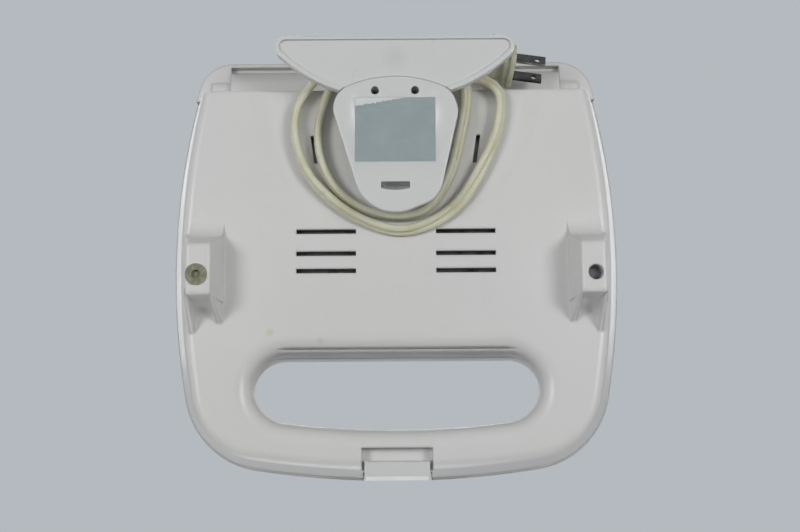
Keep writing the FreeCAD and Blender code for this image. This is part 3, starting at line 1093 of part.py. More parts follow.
def make_small_parts():
    """Foot, sticker, screws, thermostat, fuse, terminal block, lamps and lenses."""
    disc = primitive("Cylinder", "foot_disc", of("foot_x"), of("foot_y"), 0.0,
                     Radius=of("foot_disc / 2"), Height=of("post_level"))
    stem = primitive("Cylinder", "foot_stem", of("foot_x"), of("foot_y"), 0.0,
                     Radius=of("foot_bore / 2 - 0.05"), Height=of("post_level + foot_stem"))
    foot = doc.addObject("Part::Fuse", "foot_whole")
    foot.Base = disc
    foot.Tool = stem
    hole = primitive("Cylinder", "foot_hole", of("foot_x"), of("foot_y"), -1.0,
                     Radius=of("foot_hole / 2"), Height=of("foot_hole_depth + 1"))
    cut("rubber_foot", foot, [hole])
    head_level = of("post_level + foot_bore_depth + screw_head_height")
    screws = []
    for side, sign in SIDES:
        screws.append(make_screw("housing_screw_" + side, of(sign + "foot_x"), of("foot_y"),
                                 head_level, "screw"))
    gather("housing_screws", screws)
    screws = []
    for side, sign in SIDES:
        screws.append(make_screw("cover_screw_" + side, of(sign + "cover_screw_x"),
                                 of("cover_screw_y"), of("panel_level + wrap_screw_well"),
                                 "wrap_screw"))
    gather("cover_screws", screws)
    body = new_body("foil_sticker")
    sticker = Profile(body, "StickerOutline", level=of("sticker_depth / 3"))
    sticker.rectangle(of("0.1 - sticker_half"), of("sticker_front + 0.1"),
                      of("sticker_half - 0.1"), of("sticker_rear - 0.1"))
    pad(body, sticker, "Sticker", of("2 * sticker_depth / 3"))
    body = new_body("thermostat")
    can = Profile(body, "CanOutline", level=of("parting_level - plate_gap - plate_thickness"))
    can.circle(0.0, of("plate_middle"), of("thermostat / 2"))
    pad(body, can, "Can", of("thermostat_height"), up=False)
    tabs = Profile(body, "TabOutlines", level=of(
        "parting_level - plate_gap - plate_thickness - thermostat_height + 2"))
    for side, sign in SIDES:
        tabs.rectangle(of(sign + "tab_inner"), of("plate_middle - tab_width / 2"),
                       of(sign + "tab_outer"), of("plate_middle + tab_width / 2"))
    pad(body, tabs, "Tabs", 0.8, up=False)
    body = new_body("thermal_fuse")
    fuse_level = of("parting_level - plate_gap - plate_thickness - fuse / 2")
    fuse = Profile(body, "FuseOutline", "YZ_Plane", of("fuse_start"))
    fuse.circle(of("fuse_y"), fuse_level, of("fuse / 2"))
    pad(body, fuse, "Fuse", of("fuse_length"))
    leads = Profile(body, "LeadOutline", "YZ_Plane", of("lead_start"))
    leads.circle(of("fuse_y"), fuse_level, of("lead / 2"))
    pad(body, leads, "Leads", of("lead_length"))
    body = new_body("terminal_block")
    block = Profile(body, "BlockOutline", level=of("floor_level"))
    block.rectangle(of("block_left"), of("block_front"), of("block_right"), of("block_rear"))
    pad(body, block, "Block", of("block_height"))
    wires = Profile(body, "WireHoleOutlines", "XZ_Plane", of("block_front - 1"))
    for place in ("- wire_pitch", "", "+ wire_pitch"):
        wires.circle(of("(block_left + block_right) / 2 " + place),
                     of("floor_level + block_height / 2"), of("wire_hole / 2"))
    pocket(body, wires, "WireHoles", of("block_rear - block_front + 2"), up=False)
    for name, sign in (("power", ""), ("ready", "-")):
        body = new_body(name + "_lens")
        lens = Profile(body, "LensOutline", level=of("ceiling_level - 1.5"))
        lens.circle(of(sign + "lamp_x"), of("lamp_y"), of("lens_radius - 0.1"))
        pad(body, lens, "Lens", of("top_level - ceiling_level + 1.5 + lens_rise"))
        top_z = number(of("top_level + lens_rise"))
        dress(body, "Fillet", "LensEdge", 0.7, lambda p: near(p.z, top_z))
        flange = Profile(body, "FlangeOutline", level=of("ceiling_level - 1.5"))
        flange.circle(of(sign + "lamp_x"), of("lamp_y"), of("lens_radius + lens_flange"))
        pad(body, flange, "Flange", 1.5)
    lamps = []
    for side, sign in SIDES:
        lamps.append(primitive("Cylinder", "lamp_" + side, of(sign + "lamp_x"), of("lamp_y"),
                               of("ceiling_level - 1.5 - lamp_length"),
                               Radius=of("lamp / 2"), Height=of("lamp_length")))
    gather("pilot_lamps", lamps)


# ---------------------------------------------------------------- cord and plug

# From the strain relief twice round the wrap and back to the plug's tail.
CORD_ROUTE = [
    (-9.1, 99.5, 32.0), (-3.9, 106.3, 32.0), (5.9, 111.3, 29.8), (20.3, 110.8, 25.0),
    (33.4, 101.0, 20.2), (41.7, 85.0, 19.0), (45.5, 66.1, 19.3), (40.9, 46.6, 19.4),
    (26.7, 29.8, 19.2), (1.0, 20.2, 19.4), (-20.1, 26.8, 19.3), (-31.8, 43.1, 19.4),
    (-38.1, 65.6, 19.2), (-40.3, 86.3, 18.6), (-36.3, 103.0, 17.0), (-24.6, 113.5, 15.0),
    (-6.2, 115.6, 14.2), (14.4, 114.6, 14.0), (32.8, 108.8, 14.6), (48.0, 97.3, 16.8),
    (56.5, 81.1, 19.0), (57.8, 60.5, 19.4), (47.4, 40.5, 19.3), (24.6, 23.8, 19.4),
    (2.0, 11.4, 19.3), (-19.6, 16.7, 19.4), (-41.3, 34.9, 19.2), (-56.2, 58.4, 19.4),
    (-62.1, 79.0, 19.2), (-55.7, 95.7, 18.7), (-44.0, 103.5, 18.2), (-34.3, 103.2, 18.1),
    (-27.0, 105.5, 19.5), (-26.1, 110.4, 22.4), (-30.9, 113.2, 24.3), (-37.0, 112.4, 24.5),
]
PLUG_ROLL = 31.0


def rounded_path(route):
    """Straight runs joined by arcs, each as large as its two runs allow, and the radii."""
    points = [Vector(*point) for point in route]
    edges, radii, start = [], [], points[0]
    for before, corner, after in zip(points, points[1:], points[2:]):
        back, ahead = before - corner, after - corner
        trim = 0.45 * min(back.Length, ahead.Length)
        half_turn = (math.pi - back.getAngle(ahead)) / 2
        radii.append(trim / math.tan(half_turn))
        back.normalize()
        ahead.normalize()
        first, last = corner + back * trim, corner + ahead * trim
        inward = (back + ahead).normalize()
        middle = corner + inward * radii[-1] * (1 / math.cos(half_turn) - 1)
        edges.append(Part.LineSegment(start, first).toShape())
        edges.append(Part.Arc(first, middle, last).toShape())
        start = last
    edges.append(Part.LineSegment(start, points[-1]).toShape())
    return Part.Wire(edges), radii


def make_cord():
    """The mains lead, wound twice round the hub, as a plain tube along its route."""
    path, radii = rounded_path(CORD_ROUTE)
    start, second = Vector(*CORD_ROUTE[0]), Vector(*CORD_ROUTE[1])
    tube_radius = number(of("cord_tube / 2"))
    section = Part.Wire(Part.makeCircle(tube_radius, start, second - start))
    tube = path.makePipeShell([section], True, False)
    cord = doc.addObject("Part::Feature", "power_cord")
    cord.Label = "power_cord"
    cord.Shape = tube
    cord.Placement = FreeCAD.Placement()
    parts.append(cord)
    expected = math.pi * tube_radius ** 2 * path.Length
    print("power_cord: length %.0f mm, volume %.2f of section times length"
          % (path.Length, tube.Volume / expected))
    print("power_cord: arc radii", " ".join("%.1f" % radius for radius in radii))


def make_plug():
    """The moulded plug and its two blades, in line with the end of the cord."""
    tail, before = Vector(*CORD_ROUTE[-1]), Vector(*CORD_ROUTE[-2])
    heading = (tail - before).normalize()
    spin = FreeCAD.Rotation(Vector(1, 0, 0), PLUG_ROLL)
    place = FreeCAD.Placement(tail, FreeCAD.Rotation(Vector(1, 0, 0), heading) * spin)
    body = new_body("plug_body")
    end = Profile(body, "TailOutline", "YZ_Plane", 0.0)
    end.circle(0.0, 0.0, of("cord_tube / 2 + 1.2"))
    pad(body, end, "Tail", of("plug_length - 9"))
    start = Profile(body, "GripStart", "YZ_Plane", 3.0)
    start.rectangle(of("-plug_tail_half"), of("-plug_tail_half_depth"), of("plug_tail_half"),
                    of("plug_tail_half_depth"))
    swell = Profile(body, "GripEnd", "YZ_Plane", of("plug_length - plug_block"))
    block = Profile(body, "BlockOutline", "YZ_Plane", of("plug_length - plug_block"))
    for profile in (swell, block):
        profile.rectangle(of("-plug_half"), of("-plug_half_depth"), of("plug_half"),
                          of("plug_half_depth"))
    loft(body, "Additive", start, swell, "Grip")
    pad(body, block, "Block", of("plug_block"))
    end_x = number(of("plug_length"))
    tail_y, tail_z = number(of("plug_tail_half")), number(of("plug_tail_half_depth"))
    dress(body, "Fillet", "GripEdges", of("plug_edge"),
          lambda p: 2.9 < p.x < end_x + 0.1 and abs(p.y) > tail_y - 0.1
          and abs(p.z) > tail_z - 0.1)
    flange = Profile(body, "FlangeOutline", "YZ_Plane", of("plug_length"))
    flange.rectangle(of("-flange_half"), of("-flange_half_depth"), of("flange_half"),
                     of("flange_half_depth"))
    pad(body, flange, "Flange", of("plug_flange"))
    flange_y, flange_z = number(of("flange_half")), number(of("flange_half_depth"))
    dress(body, "Fillet", "FlangeCorners", of("flange_corner"),
          lambda p: p.x > end_x - 0.1 and near(abs(p.y), flange_y) and near(abs(p.z), flange_z))
    body.Placement = place
    pieces = []
    for side, sign in SIDES:
        box = primitive("Box", "blade_" + side, of("plug_length + plug_flange"),
                        of(sign + "blade_spacing / 2 - blade_thickness / 2"),
                        of("-blade_width / 2"), Length=of("blade_length"),
                        Width=of("blade_thickness"), Height=of("blade_width"))
        hole = doc.addObject("Part::Cylinder", "blade_hole_" + side)
        hole.Radius = number(of("blade_hole / 2"))
        bind(hole, "Radius", of("blade_hole / 2"))
        hole.Height = 20.0
        hole.Placement = FreeCAD.Placement(
            Vector(number(of("plug_length + plug_flange + blade_length - blade_hole_inset")),
                   number(of(sign + "blade_spacing / 2")) + 10.0, 0.0),
            FreeCAD.Rotation(Vector(1, 0, 0), 90.0))
        blade = doc.addObject("Part::Cut", "blade_cut_" + side)
        blade.Base = box
        blade.Tool = hole
        pieces.append(blade)
    blades = gather("plug_blades", pieces)
    blades.Placement = place


def make_strain_relief():
    """The bushing in the rear wall, turned sideways to lead the cord towards the wrap."""
    start, second = Vector(*CORD_ROUTE[0]), Vector(*CORD_ROUTE[1])
    heading = (second - start).normalize()
    wall_y = number(of("base_rear - wall"))
    elbow = Vector(number(of("relief_x")), 0.0, start.z)
    elbow.y = start.y - (start.x - elbow.x) * heading.y / heading.x
    sleeve = doc.addObject("Part::Cylinder", "relief_sleeve")
    sleeve.Radius = number(of("relief_bore / 2 - 0.1"))
    bind(sleeve, "Radius", of("relief_bore / 2 - 0.1"))
    sleeve.Height = elbow.y - wall_y + 2.0
    sleeve.Placement = FreeCAD.Placement(Vector(elbow.x, wall_y - 2.0, elbow.z),
                                         FreeCAD.Rotation(Vector(1, 0, 0), -90.0))
    ball = doc.addObject("Part::Sphere", "relief_elbow")
    ball.Radius = sleeve.Radius
    bind(ball, "Radius", of("relief_bore / 2 - 0.1"))
    ball.Placement.Base = elbow
    nose = doc.addObject("Part::Cone", "relief_nose")
    nose.Radius1 = sleeve.Radius
    bind(nose, "Radius1", of("relief_bore / 2 - 0.1"))
    nose.Radius2 = number(of("relief_tip / 2"))
    bind(nose, "Radius2", of("relief_tip / 2"))
    nose.Height = (start - elbow).Length
    nose.Placement = FreeCAD.Placement(elbow, FreeCAD.Rotation(Vector(0, 0, 1), heading))
    relief = doc.addObject("Part::MultiFuse", "strain_relief")
    relief.Label = "strain_relief"
    relief.Shapes = [sleeve, ball, nose]
    parts.append(relief)


def main():
    """Build every piece, check it and write it to its own file."""
    make_base_housing()
    make_lid_housing()
    make_frame("lower_frame", True)
    make_frame("upper_frame", False)
    for half in (Half("lower", True), Half("upper", False)):
        half.make_plate()
        half.make_reflector()
        half.make_heater()
        half.make_screws()
    make_hub()
    make_cover()
    make_stand()
    make_latch()
    make_hinge_pins()
    make_small_parts()
    make_strain_relief()
    make_cord()
    make_plug()
    doc.recompute()
    os.makedirs("parts", exist_ok=True)
    for item in doc.Objects:
        state = [word for word in item.State if word in ("Invalid", "Error")]
        if state:
            raise RuntimeError("%s is %s" % (item.Name, state))
    for part in parts:
        if part.Shape.isNull() or not part.Shape.isValid():
            raise RuntimeError("%s has no valid shape" % part.Label)
        part.Shape.exportStep("parts/%s.step" % part.Label)
        print("%-20s %8.1f cm3, %d solid(s)" % (part.Label, part.Shape.Volume / 1000,
                                                len(part.Shape.Solids)))


main()
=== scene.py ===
"""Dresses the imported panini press: finishes for its pieces, the wound lead, the plug and the foil.

The press lies as it was packed, standing on its feet, and the camera looks up at its underside.
All sizes are in metres.
"""

import logging
import math
from dataclasses import dataclass
from enum import Enum
from typing import Callable

import bpy
from mathutils import Matrix, Vector

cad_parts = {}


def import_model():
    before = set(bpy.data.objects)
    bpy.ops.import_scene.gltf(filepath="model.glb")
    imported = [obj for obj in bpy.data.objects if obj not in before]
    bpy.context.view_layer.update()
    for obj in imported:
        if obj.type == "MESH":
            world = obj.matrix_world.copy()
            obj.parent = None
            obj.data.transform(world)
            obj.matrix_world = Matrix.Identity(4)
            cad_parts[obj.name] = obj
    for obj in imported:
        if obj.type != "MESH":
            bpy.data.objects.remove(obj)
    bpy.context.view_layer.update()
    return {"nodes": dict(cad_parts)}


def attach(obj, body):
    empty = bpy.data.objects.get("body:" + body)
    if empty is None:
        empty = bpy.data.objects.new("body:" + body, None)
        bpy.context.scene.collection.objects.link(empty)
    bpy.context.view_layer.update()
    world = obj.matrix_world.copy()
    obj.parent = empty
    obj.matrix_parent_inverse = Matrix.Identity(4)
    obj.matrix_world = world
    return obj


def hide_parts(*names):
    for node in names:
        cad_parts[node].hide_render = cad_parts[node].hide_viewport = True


logger = logging.getLogger("panini_press")

Colour = tuple[float, float, float]
Point = tuple[float, float, float]

MILLIMETRE = 0.001
# a place this near to a face, an edge or another place counts as lying on it
SLACK = 0.0001
# vertices nearer to each other than this are merged
MERGE = 0.000005


# ---------------------------------------------------------------- node graphs

class Graph:
    """A material's node tree with short calls for the nodes that the finishes share."""

    BEVEL_SAMPLES = 6

    def __init__(self, name: str) -> None:
        """Start an empty material with object coordinates.

        Args:
            name: the material's name.
        """
        self.material = bpy.data.materials.new(name)
        self.material.use_nodes = True
        self.tree = self.material.node_tree
        self.tree.nodes.clear()
        self.output = self.tree.nodes.new("ShaderNodeOutputMaterial")
        self.place = self.tree.nodes.new("ShaderNodeTexCoord").outputs["Object"]

    def add(self, kind: str, **settings: object) -> bpy.types.Node:
        """Add a node and set its properties.

        Args:
            kind: the node's type without the ShaderNode prefix.
            settings: properties of the node.

        Returns:
            The new node.
        """
        node = self.tree.nodes.new("ShaderNode" + kind)
        for word, value in settings.items():
            setattr(node, word, value)
        return node

    def link(self, source: bpy.types.NodeSocket, target: bpy.types.NodeSocket) -> None:
        """Join two sockets."""
        self.tree.links.new(source, target)

    def stretched(self, scale: Point) -> bpy.types.NodeSocket:
        """Object coordinates scaled along each axis.

        Args:
            scale: the factor along X, Y and Z.

        Returns:
            The mapped vector.
        """
        node = self.add("Mapping")
        node.inputs["Scale"].default_value = scale
        self.link(self.place, node.inputs["Vector"])
        return node.outputs["Vector"]

    def noise(self, scale: float, detail: float = 3.0, rough: float = 0.55,
              vector: bpy.types.NodeSocket | None = None) -> bpy.types.NodeSocket:
        """Fractal noise.

        Args:
            scale: cells per metre.
            detail: octaves.
            rough: how strongly the small octaves count.
            vector: coordinates, or None for object coordinates.

        Returns:
            The noise's factor.
        """
        node = self.add("TexNoise")
        node.inputs["Scale"].default_value = scale
        node.inputs["Detail"].default_value = detail
        node.inputs["Roughness"].default_value = rough
        self.link(vector or self.place, node.inputs["Vector"])
        return node.outputs["Fac"]

    def ramp(self, factor: bpy.types.NodeSocket, low: float, high: float,
             bottom: float = 0.0, top: float = 1.0) -> bpy.types.NodeSocket:
        """A factor stretched from one range to another and clamped.

        Args:
            factor: what is stretched.
            low: the value that becomes bottom.
            high: the value that becomes top.
            bottom: the new low end.
            top: the new high end.

        Returns:
            The stretched factor.
        """
        node = self.add("MapRange", clamp=True)
        for word, value in (("From Min", low), ("From Max", high),
                            ("To Min", bottom), ("To Max", top)):
            node.inputs[word].default_value = value
        self.link(factor, node.inputs["Value"])
        return node.outputs["Result"]

    def blend(self, factor: bpy.types.NodeSocket, first: object,
              second: object) -> bpy.types.NodeSocket:
        """Mix two colours, each a colour or a socket.

        Args:
            factor: 0 for the first colour and 1 for the second.
            first: a colour or a socket.
            second: a colour or a socket.

        Returns:
            The mixed colour.
        """
        node = self.add("Mix", data_type="RGBA")
        self.link(factor, node.inputs["Factor"])
        for word, value in (("A", first), ("B", second)):
            socket = [item for item in node.inputs if item.name == word and item.type == "RGBA"][0]
            if isinstance(value, tuple):
                socket.default_value = (*value, 1.0)
            else:
                self.link(value, socket)
        return [item for item in node.outputs if item.type == "RGBA"][0]

    def reckon(self, operation: str, first: object, second: object = 0.0) -> bpy.types.NodeSocket:
        """A sum, product or other calculation on two values.

        Args:
            operation: the Math node's operation.
            first: a number or a socket.
            second: a number or a socket.

        Returns:
            The result.
        """
        node = self.add("Math", operation=operation)
        for socket, value in zip(node.inputs, (first, second)):
            if isinstance(value, bpy.types.NodeSocket):
                self.link(value, socket)
            else:
                socket.default_value = value
        return node.outputs["Value"]

    def bump(self, height: bpy.types.NodeSocket, distance: float,
             under: bpy.types.NodeSocket | None = None) -> bpy.types.NodeSocket:
        """A bumped normal.

        Args:
            height: the relief, from 0 to 1.
            distance: how deep it is, in metres.
            under: another normal that this one is laid on.

        Returns:
            The normal.
        """
        node = self.add("Bump")
        node.inputs["Strength"].default_value = 1.0
        node.inputs["Distance"].default_value = distance
        self.link(height, node.inputs["Height"])
        if under is not None:
            self.link(under, node.inputs["Normal"])
        return node.outputs["Normal"]

    def soft_edges(self, radius: float) -> bpy.types.NodeSocket:
        """The normal as if every edge were rounded.

        Args:
            radius: how far the rounding reaches from an edge.

        Returns:
            The normal.
        """
        node = self.add("Bevel")
        node.samples = self.BEVEL_SAMPLES
        node.inputs["Radius"].default_value = radius
        return node.outputs["Normal"]

    def spot(self, middle: Point, radius: float) -> bpy.types.NodeSocket:
        """A soft round spot: 1 at its middle and 0 from its radius outwards.

        Args:
            middle: the spot's centre.
            radius: where it has faded out.

        Returns:
            The factor.
        """
        node = self.add("VectorMath", operation="DISTANCE")
        self.link(self.place, node.inputs[0])
        node.inputs[1].default_value = middle
        return self.ramp(node.outputs["Value"], 0.0, radius, 1.0, 0.0)

    def beyond(self, slope: Point, start: float, end: float) -> bpy.types.NodeSocket:
        """How far a place lies along a direction.

        Args:
            slope: the direction.
            start: the distance from the origin at which the factor is 0.
            end: the distance at which it is 1.

        Returns:
            The factor.
        """
        node = self.add("VectorMath", operation="DOT_PRODUCT")
        self.link(self.place, node.inputs[0])
        node.inputs[1].default_value = slope
        return self.ramp(node.outputs["Value"], start, end)

    def surface(self, colour: object, roughness: object, normal: object = None,
                **fixed: object) -> bpy.types.Material:
        """Finish the material with a Principled shader.

        Args:
            colour: a colour or a socket.
            roughness: a number or a socket.
            normal: a normal socket, or None.
            fixed: other sockets by name, with spaces written as underscores.

        Returns:
            The finished material.
        """
        shader = self.add("BsdfPrincipled")
        for word, value in (("Base Color", colour), ("Roughness", roughness), ("Normal", normal)):
            if isinstance(value, bpy.types.NodeSocket):
                self.link(value, shader.inputs[word])
            elif isinstance(value, tuple):
                shader.inputs[word].default_value = (*value, 1.0)
            elif value is not None:
                shader.inputs[word].default_value = value
        for word, value in fixed.items():
            shader.inputs[word.replace("_", " ")].default_value = value
        self.link(shader.outputs["BSDF"], self.output.inputs["Surface"])
        return self.material


# ---------------------------------------------------------------- finishes

@dataclass(frozen=True)
class MouldedPlastic:
    """Satin white moulded plastic with faint yellowing, dust and rubbed patches, and painted shade
    inside the listed hollows.
    """

    name: str
    colour: Colour = (0.665, 0.663, 0.66)
    aged: Colour = (0.645, 0.635, 0.60)
    dirt: Colour = (0.40, 0.37, 0.31)
    roughness: float = 0.36
    grain: float = 0.000018
    edge: float = 0.0022
    marks: tuple[Point, ...] = ()
    mark_reach: float = 0.0028
    mark_colour: Colour = (0.50, 0.44, 0.25)
    # painted shade: dark spots painted inside hollows, such as the bore of a post
    shaded_hollows: tuple[Point, ...] = ()
    hollow_shade_reach: float = 0.0062
    hollow_shade_colour: Colour = (0.10, 0.105, 0.12)

    def make(self) -> bpy.types.Material:
        """Build the material."""
        graph = Graph(self.name)
        patches = graph.ramp(graph.noise(14.0, 3.0), 0.42, 0.72)
        colour = graph.blend(graph.reckon("MULTIPLY", patches, 0.35), self.colour, self.aged)
        film = graph.ramp(graph.noise(90.0, 6.0, 0.7), 0.56, 0.80)
        colour = graph.blend(graph.reckon("MULTIPLY", film, 0.10), colour, self.dirt)
        specks = graph.ramp(graph.noise(900.0, 2.0), 0.735, 0.80)
        colour = graph.blend(graph.reckon("MULTIPLY", specks, 0.30), colour, self.dirt)
        for place in self.marks:
            spot = graph.reckon("MULTIPLY", graph.spot(place, self.mark_reach), 0.5)
            colour = graph.blend(spot, colour, self.mark_colour)
        # painted shade: each listed hollow is darkened towards its middle
        for place in self.shaded_hollows:
            dark = graph.ramp(graph.spot(place, self.hollow_shade_reach), 0.0, 0.55)
            colour = graph.blend(dark, colour, self.hollow_shade_colour)
        rubbed = graph.noise(38.0, 4.0, 0.6)
        roughness = graph.ramp(rubbed, 0.3, 0.75, self.roughness - 0.07, self.roughness + 0.10)
        edges = graph.soft_edges(self.edge) if self.edge else None
        grain = graph.bump(graph.noise(2600.0, 2.0), self.grain, edges)
        waves = graph.bump(graph.noise(16.0, 1.0), 0.00025, grain)
        return graph.surface(colour, roughness, waves, Specular_IOR_Level=0.42,
                             Coat_Weight=0.08, Coat_Roughness=0.18)


@dataclass(frozen=True)
class AgedVinyl:
    """Cream flexible vinyl, yellowed and greyed by handling, with painted shade, darker and reddish,
    where the lead runs down into the gap by the stand.
    """

    name: str
    colour: Colour = (0.585, 0.58, 0.41)
    pale: Colour = (0.66, 0.66, 0.53)
    grime: Colour = (0.36, 0.34, 0.20)
    # painted shade of the gap by the stand, darker and reddish, and where it lies
    gap_shade: Colour = (0.62, 0.44, 0.33)
    gap_shade_at: Point = (-0.046, 0.1001, 0.0195)
    gap_shade_reach: float = 0.011

    def make(self) -> bpy.types.Material:
        """Build the material."""
        graph = Graph(self.name)
        tone = graph.ramp(graph.noise(55.0, 4.0), 0.35, 0.7)
        colour = graph.blend(tone, self.colour, self.pale)
        grime = graph.ramp(graph.noise(210.0, 5.0, 0.7), 0.55, 0.78)
        colour = graph.blend(graph.reckon("MULTIPLY", grime, 0.35), colour, self.grime)
        # painted shade: a darker, reddish spot where the lead passes down into the gap by the stand
        gap_shade = graph.reckon("MULTIPLY", graph.spot(self.gap_shade_at, self.gap_shade_reach), 0.6)
        colour = graph.blend(gap_shade, colour, self.gap_shade)
        roughness = graph.ramp(graph.noise(120.0, 3.0), 0.3, 0.7, 0.36, 0.52)
        normal = graph.bump(graph.noise(1500.0, 3.0), 0.00002)
        return graph.surface(colour, roughness, normal, Specular_IOR_Level=0.45,
                             Sheen_Weight=0.05)


@dataclass(frozen=True)
class Metal:
    """Bare or plated metal with a brushed grain and dull patches."""

    name: str
    colour: Colour
    dull: Colour
    roughness: float = 0.3
    grain: Point = (40.0, 40.0, 900.0)

    def make(self) -> bpy.types.Material:
        """Build the material."""
        graph = Graph(self.name)
        patches = graph.ramp(graph.noise(160.0, 4.0), 0.4, 0.7)
        colour = graph.blend(patches, self.colour, self.dull)
        lines = graph.noise(1.0, 2.0, 0.5, graph.stretched(self.grain))
        roughness = graph.ramp(graph.reckon("ADD", lines, patches), 0.4, 1.6,
                               self.roughness - 0.08, self.roughness + 0.18)
        normal = graph.bump(lines, 0.00001)
        return graph.surface(colour, roughness, normal, Metallic=1.0)


@dataclass(frozen=True)
class PlateCoating:
    """Dark speckled non-stick coating with rubbed patches."""

    name: str
    colour: Colour = (0.030, 0.030, 0.032)
    fleck: Colour = (0.10, 0.10, 0.105)
    worn: Colour = (0.075, 0.066, 0.058)

    def make(self) -> bpy.types.Material:
        """Build the material."""
        graph = Graph(self.name)
        worn = graph.ramp(graph.noise(35.0, 5.0), 0.5, 0.75)
        colour = graph.blend(graph.reckon("MULTIPLY", worn, 0.6), self.colour, self.worn)
        flecks = graph.ramp(graph.noise(2400.0, 1.0), 0.68, 0.76)
        colour = graph.blend(flecks, colour, self.fleck)
        roughness = graph.ramp(graph.noise(60.0, 4.0), 0.3, 0.7, 0.34, 0.5)
        normal = graph.bump(graph.noise(1300.0, 2.0), 0.00003)
        return graph.surface(colour, roughness, normal, Specular_IOR_Level=0.5)


@dataclass(frozen=True)
class FootRubber:
    """Old olive rubber with dusty patches."""

    name: str
    colour: Colour = (0.19, 0.19, 0.125)
    dust: Colour = (0.33, 0.32, 0.25)

    def make(self) -> bpy.types.Material:
        """Build the material."""
        graph = Graph(self.name)
        dust = graph.ramp(graph.noise(420.0, 5.0, 0.7), 0.42, 0.68)
        colour = graph.blend(dust, self.colour, self.dust)
        normal = graph.bump(graph.noise(1600.0, 3.0), 0.00004)
        return graph.surface(colour, 0.72, normal, Specular_IOR_Level=0.3)


@dataclass(frozen=True)
class StickerFoil:
    """Bare silver foil under a clear film, creased and slightly blue."""

    name: str
    colour: Colour = (0.25, 0.305, 0.31)
    bright: Colour = (0.30, 0.355, 0.36)
    glue: Colour = (0.62, 0.60, 0.52)
    backing: Colour = (0.60, 0.62, 0.60)
    tear: Point = (0.168, 0.986, 0.0)
    tear_start: float = 0.0811
    tear_end: float = 0.0829

    def make(self) -> bpy.types.Material:
        """Build the material."""
        graph = Graph(self.name)
        clouds = graph.ramp(graph.noise(45.0, 4.0), 0.35, 0.7)
        colour = graph.blend(clouds, self.colour, self.bright)
        smears = graph.ramp(graph.noise(1.0, 4.0, 0.6, graph.stretched((60.0, 260.0, 60.0))),
                            0.60, 0.78)
        colour = graph.blend(graph.reckon("MULTIPLY", smears, 0.14), colour, self.glue)
        torn = graph.reckon("ADD", graph.beyond(self.tear, self.tear_start, self.tear_end),
                            graph.ramp(graph.noise(700.0, 4.0), 0.3, 0.7, -0.35, 0.35))
        torn = graph.ramp(torn, 0.45, 0.55)
        colour = graph.blend(torn, colour, self.backing)
        fine = graph.noise(1.0, 3.0, 0.6, graph.stretched((90.0, 420.0, 90.0)))
        normal = graph.bump(fine, 0.00008)
        roughness = graph.ramp(clouds, 0.0, 1.0, 0.40, 0.32)
        return graph.surface(colour, roughness, normal, Metallic=0.30, Coat_Weight=0.3,
                             Coat_Roughness=0.25)


@dataclass(frozen=True)
class ClearPlastic:
    """Tinted clear plastic of a lamp's window."""

    name: str
    colour: Colour

    def make(self) -> bpy.types.Material:
        """Build the material."""
        graph = Graph(self.name)
        cloud = graph.ramp(graph.noise(300.0, 3.0), 0.3, 0.7)
        deep = tuple(0.6 * part for part in self.colour)
        colour = graph.blend(cloud, self.colour, deep)
        roughness = graph.ramp(graph.noise(500.0, 3.0), 0.3, 0.7, 0.06, 0.16)
        return graph.surface(colour, roughness, None, Transmission_Weight=0.55, IOR=1.49)


class Finish(Enum):
    """The finishes that the pieces of the press are given."""

    HOUSING = MouldedPlastic(
        "housing_plastic",
        marks=((0.0681, -0.0392, 0.0228), (0.041, -0.0439, 0.0228)),
        # painted shade inside the bore of the post towards -X
        shaded_hollows=((-0.1047, -0.0102, 0.0090),))
    COVE = MouldedPlastic("cove_plastic", edge=0.0)
    WRAP = MouldedPlastic("wrap_plastic", colour=(0.635, 0.645, 0.643), aged=(0.62, 0.625, 0.61),
                          roughness=0.32, edge=0.0008,
                          marks=((-0.0001, 0.1064, 0.0),), mark_reach=0.009,
                          mark_colour=(0.52, 0.53, 0.53))
    CORD = AgedVinyl("cord_vinyl")
    PLUG = AgedVinyl("plug_vinyl", colour=(0.55, 0.55, 0.40), pale=(0.66, 0.66, 0.53))
    COATING = PlateCoating("plate_coating")
    PAN = Metal("pan_metal", (0.17, 0.16, 0.15), (0.08, 0.075, 0.07), 0.45)
    HEATER = Metal("heater_steel", (0.32, 0.29, 0.26), (0.16, 0.13, 0.12), 0.45)
    STEEL = Metal("steel", (0.62, 0.62, 0.63), (0.42, 0.41, 0.40), 0.28)
    DARK_STEEL = Metal("dark_steel", (0.10, 0.10, 0.105), (0.05, 0.05, 0.05), 0.35)
    BLADE = Metal("blade_metal", (0.13, 0.125, 0.12), (0.06, 0.055, 0.05), 0.30)
    FOOT = FootRubber("foot_rubber")
    FOIL = StickerFoil("sticker_foil")
    SENSOR = Metal("sensor_metal", (0.6, 0.6, 0.6), (0.45, 0.44, 0.42), 0.35)
    BLOCK = MouldedPlastic("block_plastic", colour=(0.70, 0.68, 0.60), roughness=0.5)
    RED = ClearPlastic("red_lens", (0.55, 0.03, 0.02))
    GREEN = ClearPlastic("green_lens", (0.03, 0.40, 0.08))
    GLASS = ClearPlastic("lamp_glass", (0.90, 0.86, 0.80))


